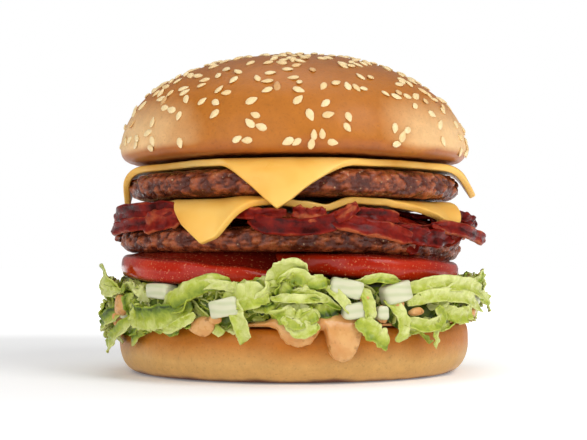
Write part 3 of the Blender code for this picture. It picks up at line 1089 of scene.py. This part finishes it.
def tomatoMaterial():
    material, tree, shader, place = startMaterial(
        "wetTomato",  # taut red skin round the rim, darker grainy flesh on the cut faces
        {
            "Roughness": 0.22,
            "IOR": 1.4,
            "Specular IOR Level": 0.32,
            "Subsurface Weight": 0.12,
            "Subsurface Scale": 0.002,
            "Subsurface Radius": (1.0, 0.3, 0.15),
        },
   )
    skin = addNode(tree, "Attribute", {"attribute_name": "tone"}, output="Fac")
    cloud = addNode(tree, "TexNoise", {"Scale": perMm(9), "Detail": 3}, {"Vector": place})
    stops = [(0.3, toLinear(tomatoLook["skin"])), (0.7, toLinear(tomatoLook["skinLight"]))]
    skinColour = addNode(tree, "ValToRGB", {"stops": stops}, {"Fac": cloud})
    colour = addNode(
        tree,
        "Mix",
        {"data_type": "RGBA", 6: toLinear(tomatoLook["flesh"])},
        {0: skin, 7: skinColour},
        output=2,
   )
    dots = addNode(tree, "TexNoise", {"Scale": perMm(0.6), "Detail": 2}, {"Vector": place})
    fleck = addNode(tree, "ValToRGB", {"stops": [(0.62, 0.0), (0.7, 0.6)]}, {"Fac": dots})
    colour = addNode(
        tree,
        "Mix",
        {"data_type": "RGBA", 7: toLinear(tomatoLook["fleck"])},
        {0: fleck, 6: colour},
        output=2,
   )
    tree.links.new(colour, shader.inputs["Base Color"])
    gloss = addNode(
        tree,
        "MapRange",
        {"From Min": 0.3, "From Max": 0.7, "To Min": 0.08, "To Max": 0.3},
        {"Value": cloud},
   )
    tree.links.new(gloss, shader.inputs["Roughness"])
    bump = addNode(tree, "Bump", {"Strength": 0.18, "Distance": 0.15 * mm}, {"Height": dots})
    tree.links.new(bump, shader.inputs["Normal"])
    return material


def shapeTomato(middle, under, over, seed):
    outline = [(0, 0), (0.55, 0), (0.9, 0), (0.965, 0.03), (0.992, 0.2), (1.0, 0.5)]
    outline += [(0.994, 0.8), (0.967, 0.97), (0.9, 1), (0.55, 1), (0, 1)]
    bm = rounded(spun([(r * 40, z * 6) for r, z in outline], tomatoLook["steps"]), 2)
    skinLayer = bm.verts.layers.float.new("tone")
    for vert in bm.verts:
        share = vert.co.z / 6
        across = math.hypot(vert.co.x, vert.co.y) / 40
        angle = math.atan2(vert.co.y, vert.co.x)
        uneven = bumps(math.cos(angle) * 1.6, math.sin(angle) * 1.6, 0, 1, seed)
        x = middle[0] + tomatoLook["halfWide"] * across * (1 + 0.02 * uneven) * math.cos(angle)
        y = middle[1] + tomatoLook["halfDeep"] * across * (1 + 0.02 * uneven) * math.sin(angle)
        dent = 0.18 * bumps(x, y, 0, 6, seed) * ease(across, 0.3, 0.8)
        top = between(over, x)
        top += max(0.0, tomatoLook["domed"] - top) * (1 - ease(across, 0.78, 0.93))
        vert.co = Vector((x, y, blend(between(under, x), top, share) + dent))
        vert[skinLayer] = ease(across, 0.965, 0.985)
    faceOut(bm)
    return bm


wetTomato = tomatoMaterial()
leftSlice = shapeTomato((-19.3, -8.5), leftUnder, leftOver, 5.0)
rightSlice = shapeTomato((17.0, -7.5), rightUnder, rightOver, 8.0)
placePiece("tomatoLeft", leftSlice, wetTomato, ["tomato_left"])
placePiece("tomatoRight", rightSlice, wetTomato, ["tomato_right"])
print("tomato sliced")

# ---- lettuce: a core painted dark as shade in the gaps, hidden by curled shreds

lettuceLook = {
    "pale": "#D2D68C",
    "light": "#A8B23A",
    "green": "#6E831A",
    "deep": "#2E400C",
    "thick": 0.35,
    "count": 430,
    "coreTone": 0.85,
    "coreSteps": 120,
}
hang = [(0, 17.0), (18, 13.0), (40, 15.0), (70, 11.5), (100, 14.5), (130, 10.5), (160, 14.0)]
hang += [(185, 12.5), (198, 8.6), (212, 8.2), (222, 14.5), (234, 14.2), (243, 17.4)]
hang += [(247.5, 12.4), (252, 12.8), (256.5, 18.1), (297, 18.1), (301.5, 10.6)]
hang += [(306, 12.0), (312, 9.8), (318, 15.0), (335, 16.8), (345, 15.8), (360, 17.0)]
rise = [(0, 29.6), (30, 31.5), (60, 34.6), (90, 36.4), (120, 35.6), (150, 32.0), (180, 30.0)]
rise += [(205, 29.4), (225, 28.6), (243, 28.2), (254, 29.2), (261, 30.6), (268, 31.4)]
rise += [(275, 30.6), (280, 30.0), (288, 30.0), (297, 29.6), (310, 28.8), (330, 28.6)]
rise += [(345, 31.0), (352, 31.5), (360, 29.6)]
bed = [(-54, 30.2), (-35, 29.0), (-17, 27.7), (0, 26.2), (20, 25.2), (40, 27.2), (54, 28.0)]


def lettuceMaterial():
    material, tree, shader, place = startMaterial(
        "crispLettuce",  # watery leaf, white rib fading to green edge, light comes through
        {
            "Roughness": 0.34,
            "IOR": 1.4,
            "Specular IOR Level": 0.5,
            "Subsurface Weight": 0.15,
            "Subsurface Scale": 0.0015,
            "Subsurface Radius": (0.7, 1.0, 0.3),
        },
   )
    tone = addNode(tree, "Attribute", {"attribute_name": "tone"}, output="Fac")
    vein = addNode(
        tree,
        "TexNoise",
        {"Scale": perMm(3), "Detail": 5, "Roughness": 0.65, "Distortion": 0.8},
        {"Vector": place},
   )
    shift = addNode(
        tree,
        "MapRange",
        {"From Min": 0.3, "From Max": 0.7, "To Min": -0.2, "To Max": 0.2},
        {"Value": vein},
   )
    level = addNode(tree, "Math", {"operation": "ADD"}, {0: tone, 1: shift})
    stops = [(0.0, "pale"), (0.35, "light"), (0.72, "green"), (1.0, "deep")]
    colour = addNode(
        tree,
        "ValToRGB",
        {"stops": [(at, toLinear(lettuceLook[tone])) for at, tone in stops]},
        {"Fac": level},
   )
    tree.links.new(colour, shader.inputs["Base Color"])
    bump = addNode(tree, "Bump", {"Strength": 0.35, "Distance": 0.4 * mm}, {"Height": vein})
    tree.links.new(bump, shader.inputs["Normal"])
    return material


def shapeCore():
    outline = [(number * 1.0, number * 0.001) for number in range(14)]
    bm = spun(outline, lettuceLook["coreSteps"])
    rim = [edge for edge in bm.edges if edge.is_boundary]
    made = bmesh.ops.extrude_edge_only(bm, edges=rim)["geom"]
    top = [part for part in made if isinstance(part, bmesh.types.BMVert)]
    bmesh.ops.pointmerge(bm, verts=top, merge_co=(0, 0, 20))
    toneLayer = bm.verts.layers.float.new("tone")
    for vert in bm.verts:
        number = 14 if vert.co.z > 1 else round(math.hypot(vert.co.x, vert.co.y))
        turn = math.degrees(math.atan2(vert.co.y, vert.co.x)) % 360 if number else 0.0
        low, high = between(hang, turn) + 4.0, between(rise, turn) - 2.2
        section = [(0, 18.2), (28, 18.2), (53.4, 18.2), (54.9, 18.2), (55.6, min(18, low + 0.6))]
        section += [(56.2, low + 0.1), (56.6, low), (57.0, low + 1.8), (57.0, (low + high) / 2)]
        section += [(56.2, high - 2), (55.0, high), (53.4, high - 0.6), (52.0, 0), (22, 0), (0, 0)]
        radius, height = section[number]
        at = polar(turn, radius, height)
        if number >= 12:
            at.z = between(bed, at.x) - 0.3
        shift = bumps(at.x, at.y, at.z * 1.6, 3.0, 4.4)
        if 6 <= number <= 11:
            at += Vector((at.x, at.y, 0)).normalized() * (1.3 * shift - 0.6)
        vert.co = at
        # the core's dark tone is painted shade in the gaps between the shreds
        vert[toneLayer] = lettuceLook["coreTone"] + 0.2 * shift
    faceOut(bm)
    return bm


def leafTone(look, share, v):
    rib = ease(v * look["rib"], -0.6, 1.0)
    edge = 0.45 * ease(abs(v), 0.82, 1.0)  # painted highlight: the cut edge is made paler, standing in for light shining through it
    return look["tone"] * (0.3 + 0.8 * rib) * (1 - edge)


onionMiddles = []
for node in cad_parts:
    name = node if isinstance(node, str) else node["name"]
    if name.startswith("onion"):
        low, high = boxOf(name)
        onionMiddles.append(Vector([(a + b) / 2 for a, b in zip(low, high)]))


def randomShreds(bm, toneLayer):
    rng = random.Random(1207)
    for number in range(lettuceLook["count"]):
        turn = rng.uniform(0, 360)
        low, high = between(hang, turn), between(rise, turn)
        height = blend(low + 1.5, high - 0.6, rng.random() ** 0.9)
        radius = rng.uniform(56.0, 59.4)
        steep = rng.random() < 0.3
        climb = math.radians(rng.uniform(60, 120) if steep else rng.uniform(-60, 60))
        length = rng.uniform(8, 20)
        curl = rng.uniform(-0.6, 0.6)
        bulge = rng.uniform(-0.8, 1.2)
        path = []
        for step in range(4):
            path.append((turn, radius, height))
            turn += math.degrees(length / 4 * math.cos(climb) / radius)
            height += length / 4 * math.sin(climb)
            climb += curl
            radius += bulge * (1 if step < 2 else -1.2)
            lowest, highest = between(hang, turn % 360) + 0.6, between(rise, turn % 360) - 2.4
            height = min(max(height, lowest), highest)
            radius = min(max(radius, 57.4 if height < 17.8 else 54.8), 60.2)
        look = {
            "path": path,
            "width": rng.uniform(1.8, 4.8),
            "roll": rng.uniform(-70, 70),
            "rollEnd": rng.uniform(-80, 80),
            "cup": rng.uniform(-0.8, 1.2),
            "ruffle": rng.uniform(0.15, 0.8),
            "waves": rng.uniform(1.5, 4.0),
            "cut": rng.uniform(-1, 1),
            "taper": rng.uniform(0.0, 0.7),
            "tone": rng.choice([0.15, 0.35, 0.5, 0.65, 0.8, 0.95]),
            "rib": rng.choice([-1, 1]),
            "crinkle": 0.5,
            "seed": rng.uniform(0, 50),
            "rows": 5,
            "columns": 18,
        }
        if 262 < path[1][0] % 360 < 290 and min(stop[2] for stop in path) < 19:
            continue  # the sauce runs down here
        middles = [polar(*stop) for stop in path]
        if any((at - onion).length < 6.5 for at in middles for onion in onionMiddles):
            look["path"] = [(t, min(r, 55.4), z) for t, r, z in path]  # behind the onion
        addRibbon(bm, toneLayer, look, leafTone)


def shapeShreds():
    bm = bmesh.new()
    toneLayer = bm.verts.layers.float.new("tone")
    randomShreds(bm, toneLayer)
    for number, leaf in enumerate(leaves):
        look = {"seed": number * 3.1, "rows": 9, "columns": 30, "rib": 1}
        look.update({"taper": 0.3, "crinkle": 0.6, "cut": 0.8})
        look.update(leaf)
        addRibbon(bm, toneLayer, look, leafTone)
    bm = withModifiers(bm, [("SOLIDIFY", {"thickness": lettuceLook["thick"], "offset": 0.0})])
    faceOut(bm)
    return bm


leaves = [
    ribbon(5.5, 0.45, (208, 57, 24), (203, 60, 28), (198, 60.5, 31.2), (194, 59, 29), cup=1.4),
    ribbon(3.2, 0.3, (209, 59, 25), (202, 61, 25.6), (195, 61.6, 27), roll=30, taper=0.9),
    ribbon(4.6, 0.9, (210, 58, 20), (203, 61, 17.4), (198, 61, 14.6), cup=1.0),
    ribbon(4.6, 0.55, (219, 59.6, 18), (212, 61, 14), (206, 61.4, 10), (202, 60.5, 8.2), roll=12),
    ribbon(
        7.0, 0.85, (241, 58.5, 21), (233, 60.6, 19), (224, 60.8, 18.4), (216, 59.6, 20),
        ruffle=0.8, waves=4, fray=0.3,
    ),
    ribbon(2.8, 0.35, (243, 60.2, 19.5), (238, 61.2, 17), (233, 61, 14.4), roll=-25),
    ribbon(5.2, 0.7, (229, 58.5, 21), (236, 60.8, 24), (244, 60.8, 28), (252, 58, 30.2), cup=-0.9),
    ribbon(2.8, 0.15, (241, 57.8, 27.4), (248, 60, 28.4), (256, 58.8, 27)),
    ribbon(
        4.2, 0.25, (253, 58.5, 24.6), (255, 61, 20.6), (256.6, 61.2, 16), (257.6, 60, 12.6),
        taper=0.1, cup=0.8,
    ),
    ribbon(7.6, 0.4, (251, 58.4, 26), (257, 60.4, 25), (263, 60.2, 27), cup=1.2, ruffle=0.6),
    ribbon(4.0, 0.8, (257, 57.4, 22), (263, 59.2, 23), (270, 58.6, 21.4), roll=30),
    ribbon(
        4.8, 0.45, (263, 57, 28), (266, 59.2, 31.6), (270, 59.6, 33.4), (274, 58, 30), cup=1.6,
        ruffle=0.8, fray=0.3,
    ),
    ribbon(
        4.4, 0.6, (265, 58.4, 27.6), (270, 60.4, 31), (275, 59.6, 29), (279, 58, 30), roll=35,
        ruffle=0.7,
    ),
    ribbon(2.6, 0.3, (264, 60, 25), (271, 61.2, 24.4), (279, 60, 24.6), roll=-15, taper=0.9),
    ribbon(2.4, 0.6, (268, 58.8, 26.6), (275, 60.4, 25.6), (283, 59, 22), taper=0.9),
    ribbon(4.0, 1.0, (272, 57.6, 22.6), (277, 58.8, 21), (282, 57.6, 21.6)),
    ribbon(5.4, 0.55, (266, 60, 22), (270.6, 61.6, 18.6), (275.6, 60.6, 21), cup=0.8, ruffle=0.6),
    ribbon(4.4, 0.3, (268, 61.2, 20), (271.6, 61.9, 15.6), (276, 61, 18), taper=0.7),
    ribbon(2.8, 0.2, (279.4, 58, 28), (282.4, 60.4, 24.6), (286, 60, 20.4)),
    ribbon(3.6, 0.45, (289, 58.6, 27.4), (290, 60.8, 23), (291, 60.4, 18)),
    ribbon(2.6, 0.6, (287, 58, 29.2), (294, 60, 30.2), (302, 58.5, 28.8), roll=25, taper=0.8),
    ribbon(
        3.8, 0.3, (296.6, 59, 24.6), (299.6, 60.9, 20), (300.6, 60.8, 15.6), (300, 60, 12),
        taper=0.2,
    ),
    ribbon(5.4, 0.55, (287.6, 60.4, 19), (291, 61.3, 15.4), (296, 60.8, 12), fray=0.3),
    ribbon(
        4.6, 0.35, (302, 57.4, 27.4), (314, 60, 28.6), (327, 61, 27.6), (338, 61.6, 25), roll=15,
        cup=0.9,
    ),
    ribbon(
        4.0, 0.3, (303, 58.4, 23.6), (314, 60.6, 25), (326, 61.2, 24), (336, 61.4, 21), roll=-10,
        ruffle=0.6,
    ),
    ribbon(
        3.8, 0.45, (301, 59.6, 18.6), (307.6, 61.4, 16.4), (314, 60.6, 18.2), (311, 61.4, 21),
        cup=1.2,
    ),
    ribbon(1.8, 0.35, (310.4, 60.6, 18), (311.6, 61, 13.6), (312.2, 60.8, 10)),
    ribbon(
        5.0, 0.4, (316, 59.4, 20.6), (323, 61.2, 19), (331, 60.8, 20.4), ruffle=1.0, waves=4,
        fray=0.35,
    ),
    ribbon(3.4, 0.6, (334, 57, 26), (340, 60, 29.4), (344, 60, 32), taper=0.9),
    ribbon(3.8, 0.45, (336, 60, 25), (345, 61.6, 22.6), (353, 61.6, 20.2), taper=0.8),
]
leafGreen = lettuceMaterial()
placePiece("lettuceCore", shapeCore(), leafGreen, ["lettuce"])
placePiece("lettuceShreds", shapeShreds(), leafGreen)
print("lettuce shredded")

# ---- onion

onionLook = {"flesh": "#CDCBAC", "line": "#BFC39C", "out": 1.6, "bevel": 0.8}
onionCuts = {
    "onion_left": {"size": (8.8, 5.0, 4.2), "turn": -42, "tilt": 3},
    "onion_left_low": {"size": (7.6, 4.6, 6.0), "turn": -62, "tilt": 8, "out": -0.6},
    "onion_centre_left": {"size": (8.4, 4.4, 5.0), "turn": -16, "tilt": -12},
    "onion_centre": {"size": (9.0, 4.6, 4.8), "turn": 12, "tilt": 14},
    "onion_centre_low": {"size": (6.6, 3.6, 4.4), "turn": 16, "tilt": -6, "out": -0.8},
    "onion_right_low": {"size": (3.4, 3.6, 3.6), "turn": 24, "tilt": 0, "out": 0.2},
    "onion_right": {"size": (9.0, 4.8, 5.4), "turn": 28, "tilt": -14},
    "onion_far_right": {"size": (6.4, 4.6, 5.0), "turn": 66, "tilt": 5},
}


def onionMaterial():
    material, tree, shader, place = startMaterial(
        "rawOnion",  # glassy white flesh with faint lengthwise lines
        {
            "Roughness": 0.24,
            "IOR": 1.4,
            "Subsurface Weight": 0.2,
            "Subsurface Scale": 0.003,
            "Subsurface Radius": (1.0, 0.95, 0.7),
        },
   )
    lines = addNode(
        tree,
        "TexWave",
        {"Scale": perMm(7), "Distortion": 2.0, "Detail": 1.0, "bands_direction": "Z"},
        {"Vector": place},
   )
    colour = addNode(
        tree,
        "ValToRGB",
        {"stops": [(0.2, toLinear(onionLook["flesh"])), (1.0, toLinear(onionLook["line"]))]},
        {"Fac": lines},
   )
    tree.links.new(colour, shader.inputs["Base Color"])
    bump = addNode(tree, "Bump", {"Strength": 0.15, "Distance": 0.15 * mm}, {"Height": lines})
    tree.links.new(bump, shader.inputs["Normal"])
    return material


def shapeOnion(node, cut):
    low, high = boxOf(node)
    middle = Vector([(a + b) / 2 for a, b in zip(low, high)])
    middle += Vector((middle.x, middle.y, 0)).normalized() * cut.get("out", onionLook["out"])
    bm = bmesh.new()
    bmesh.ops.create_cube(bm, size=1.0)
    bmesh.ops.scale(bm, vec=[side * 1.02 for side in cut["size"]], verts=bm.verts[:])
    bmesh.ops.subdivide_edges(bm, edges=bm.edges[:], cuts=3, use_grid_fill=True)
    edges = [edge for edge in bm.edges if edge.calc_face_angle(0) > 1.0]
    bmesh.ops.bevel(
        bm,
        geom=edges,
        offset=onionLook["bevel"],
        segments=2,
        profile=0.5,
        affect="EDGES",
        material=-1,
   )
    for vert in bm.verts:
        x, y, z = vert.co
        seed = middle.x
        shake = (bumps(x, y, z, 4, seed), bumps(x, y, z, 4, seed + 9), bumps(x, y, z, 4, seed + 5))
        vert.co += 0.5 * Vector(shake)
        vert.co.y += 0.05 * x * x - 0.03 * z * z  # cut from a curved layer
    bm = rounded(bm, 1)
    turning = Matrix.Rotation(math.radians(cut["turn"]), 4, "Z")
    turning = turning @ Matrix.Rotation(math.radians(cut["tilt"]), 4, "Y")
    bmesh.ops.transform(bm, matrix=Matrix.Translation(middle) @ turning, verts=bm.verts[:])
    faceOut(bm)
    return bm


rawOnion = onionMaterial()
for node, cut in onionCuts.items():
    placePiece(pieceName(node), shapeOnion(node, cut), rawOnion, [node])
print("onion diced")

# ---- sauce

sauceLook = {"cream": "#CA8B4C", "light": "#DAA768", "bits": "#96601F", "steps": 180}
# degrees round, how far it runs (0 to 1), height of the lower edge
runs = [(255, 0.0, 16.0), (262, 0.3, 16.0), (265.4, 0.9, 15.4), (266.6, 1.0, 12.8)]
runs += [(268.4, 1.0, 11.2), (271.5, 1.0, 10.4), (274.6, 1.0, 11.2), (276.2, 1.0, 13.0)]
runs += [(277.4, 1.0, 15.0), (278.6, 1.0, 15.2), (279.1, 1.0, 12.8), (279.5, 1.0, 10.4)]
runs += [(280.3, 1.0, 8.2), (281.8, 1.0, 6.7), (283.8, 1.0, 6.2), (285.8, 1.0, 6.7)]
runs += [(287.3, 1.0, 8.2), (288.1, 1.0, 10.4), (288.5, 1.0, 12.8), (289.6, 0.9, 15.4)]
runs += [(292, 0.3, 16.0), (297, 0.0, 16.0)]


def sauceMaterial():
    material, tree, shader, place = startMaterial(
        "burgerSauce",  # thick pinkish cream, wet and faintly lumpy
        {
            "Roughness": 0.24,
            "IOR": 1.45,
            "Subsurface Weight": 0.18,
            "Subsurface Scale": 0.002,
            "Subsurface Radius": (1.0, 0.6, 0.35),
        },
   )
    cloud = addNode(tree, "TexNoise", {"Scale": perMm(5), "Detail": 3}, {"Vector": place})
    stops = [(0.35, toLinear(sauceLook["cream"])), (0.65, toLinear(sauceLook["light"]))]
    colour = addNode(tree, "ValToRGB", {"stops": stops}, {"Fac": cloud})
    relish = addNode(tree, "TexNoise", {"Scale": perMm(2.4), "Detail": 2}, {"Vector": place})
    bits = addNode(tree, "ValToRGB", {"stops": [(0.6, 0.0), (0.7, 0.6)]}, {"Fac": relish})
    colour = addNode(
        tree,
        "Mix",
        {"data_type": "RGBA", 7: toLinear(sauceLook["bits"])},
        {0: bits, 6: colour},
        output=2,
   )
    tree.links.new(colour, shader.inputs["Base Color"])
    gloss = addNode(
        tree,
        "MapRange",
        {"From Min": 0.3, "From Max": 0.7, "To Min": 0.16, "To Max": 0.34},
        {"Value": cloud},
   )
    tree.links.new(gloss, shader.inputs["Roughness"])
    bump = addNode(tree, "Bump", {"Strength": 0.2, "Distance": 0.4 * mm}, {"Height": cloud})
    tree.links.new(bump, shader.inputs["Normal"])
    return material


def shapeSauce():
    resting = [(0, 16.2), (28, 16.2), (50, 16.2), (54.0, 16.2), (54.8, 16.3), (55.2, 16.5)]
    resting += [(55.5, 16.8), (55.5, 17.0), (55.1, 17.2), (54.0, 17.4), (28, 17.4), (0, 17.4)]
    outline = [(number * 1.0, number * 0.001) for number in range(len(resting) - 1)]
    bm = spun(outline, sauceLook["steps"])
    rim = [edge for edge in bm.edges if edge.is_boundary]
    made = bmesh.ops.extrude_edge_only(bm, edges=rim)["geom"]
    top = [part for part in made if isinstance(part, bmesh.types.BMVert)]
    bmesh.ops.pointmerge(bm, verts=top, merge_co=(0, 0, 20))
    for vert in bm.verts:
        number = 11 if vert.co.z > 1 else round(math.hypot(vert.co.x, vert.co.y))
        turn = math.degrees(math.atan2(vert.co.y, vert.co.x)) % 360 if number else 0.0
        # half of the steps are drawn together at the front, where the sauce runs
        turn = 255 + turn * 42 / 180 if turn < 180 else 297 + (turn - 180) * 318 / 180
        turn = turn % 360
        amount = between([(at, share) for at, share, _ in runs], turn)
        tip = between([(at, low) for at, _, low in runs], turn)
        radius, height = resting[number]
        running = {4: (55.4, tip + 1.4), 5: (56.2, tip + 0.2), 6: (58.4, tip + 0.4)}
        running.update({7: (60.6, tip + 2.6), 8: (59.8, 18.0), 9: (57.9, 22.0)})
        if number in running:
            wide, low = running[number]
            radius = blend(radius, wide, min(1.0, amount * 3))
            height = blend(height, low, amount)
        vert.co = polar(turn, radius, height)
    bm = rounded(bm, 1)
    faceOut(bm)
    return bm


def addBlob(bm, at, size):
    made = bmesh.ops.create_uvsphere(bm, u_segments=20, v_segments=12, radius=0.5)["verts"]
    for vert in made:
        x, y, z = vert.co
        swell = 1 + 0.3 * bumps(x, y, z, 0.5, at[0])
        vert.co = Vector((x * size[0], y * size[1], z * size[2])) * swell
    turning = Matrix.Rotation(math.radians(at[0] + 90), 4, "Z")
    bmesh.ops.transform(bm, matrix=Matrix.Translation(polar(*at)) @ turning, verts=made)


def shapeDabs():
    bm = bmesh.new()
    for at, size in dabs:
        addBlob(bm, at, size)
    faceOut(bm)
    return bm


dabs = [
    ((243.5, 58.0, 16.4), (8.4, 3.0, 5.2)),
    ((248, 58.4, 18.6), (4.0, 2.6, 3.0)),
    ((209, 58.6, 21.4), (7.0, 4.0, 6.4)),
    ((206, 58.8, 17.6), (4.0, 3.4, 5.0)),
    ((333, 59.4, 20.0), (5.0, 3.4, 5.6)),
    ((336, 59.0, 24.4), (4.2, 3.0, 4.0)),
    ((295, 58.8, 20.0), (3.4, 2.8, 5.0)),
    ((290, 59.0, 24.0), (3.6, 2.8, 3.2)),
    ((306, 59.4, 20.4), (5.0, 2.6, 2.4)),
    ((300, 59.4, 22.6), (3.4, 2.4, 2.6)),
]
burgerSauce = sauceMaterial()
placePiece("sauceRuns", shapeSauce(), burgerSauce, ["sauce"])
placePiece("sauceDabs", shapeDabs(), burgerSauce)
print("sauce poured")

# ---- floor, light, camera

studio = {
    "floor": "#F7F7F7",
    "ambient": 0.37,
    "floorGlow": 0.14,
    "shadowMiddle": (-0.10, 0.03, 0.0),
    "lens": 84.4,
    "cameraBack": 0.440,
    "cameraHeight": 0.0365,
    "cameraTilt": 1.457,
}
lamps = {
    "keyRight": {"place": (0.50, -0.45, 0.55), "size": 0.45, "energy": 3.3},
    "fillFront": {"place": (-0.35, -0.60, 0.30), "size": 0.6, "energy": 1.9},
    "topSoft": {"place": (0.0, 0.10, 0.80), "size": 0.6, "energy": 1.7},
}


def buildFloor():
    bm = bmesh.new()
    bmesh.ops.create_grid(bm, x_segments=1, y_segments=1, size=3.0)
    mesh = bpy.data.meshes.new("floor")
    bm.to_mesh(mesh)
    bm.free()
    material, tree, shader, place = startMaterial("studioFloor", {"Roughness": 0.7})
    shader.inputs["Base Color"].default_value = toLinear(studio["floor"])
    shader.inputs["Emission Color"].default_value = (1, 1, 1, 1)
    # far from the burger the sheet glows, so that it meets the white world unseen; the glow is
    # weakest round a point left of the burger, so this painted light washes the cast shadow out on
    # the right and leaves it on the left
    away = addNode(
        tree,
        "VectorMath",
        {"operation": "DISTANCE", 1: studio["shadowMiddle"]},
        {0: place},
        output="Value",
   )
    glow = addNode(
        tree,
        "MapRange",
        {"From Min": 0.13, "From Max": 0.34, "To Min": studio["floorGlow"], "To Max": 1.0},
        {"Value": away},
   )
    tree.links.new(glow, shader.inputs["Emission Strength"])
    mesh.materials.append(material)
    floor = bpy.data.objects.new("floor", mesh)
    scene.collection.objects.link(floor)


def addLamp(name, settings):
    lamp = bpy.data.lights.new(name, "AREA")
    lamp.energy = settings["energy"]
    lamp.size = settings["size"]
    lamp.color = (1, 1, 1)
    holder = bpy.data.objects.new(name, lamp)
    holder.location = settings["place"]
    aim = Vector((0, 0, 0.05)) - holder.location
    holder.rotation_euler = aim.to_track_quat("-Z", "Y").to_euler()
    scene.collection.objects.link(holder)


def buildWorld():
    # seen directly the world is plain white, yet it lights the burger only softly
    world = bpy.data.worlds.new("studio")
    world.use_nodes = True
    tree = world.node_tree
    background = tree.nodes["Background"]
    background.inputs["Color"].default_value = (1, 1, 1, 1)
    seen = addNode(tree, "LightPath", output="Is Camera Ray")
    strength = addNode(
        tree, "MapRange", {"To Min": studio["ambient"], "To Max": 1.0}, {"Value": seen}
   )
    tree.links.new(strength, background.inputs["Strength"])
    scene.world = world


def placeCamera():
    camera = bpy.data.objects.new("camera", bpy.data.cameras.new("camera"))
    camera.data.lens = studio["lens"]
    camera.data.sensor_width = 36
    camera.location = (0, -studio["cameraBack"], studio["cameraHeight"])
    camera.rotation_euler = (math.radians(90 + studio["cameraTilt"]), 0, 0)
    scene.collection.objects.link(camera)
    scene.camera = camera


buildFloor()
for name, settings in lamps.items():
    addLamp(name, settings)
buildWorld()
placeCamera()
print("studio lit")
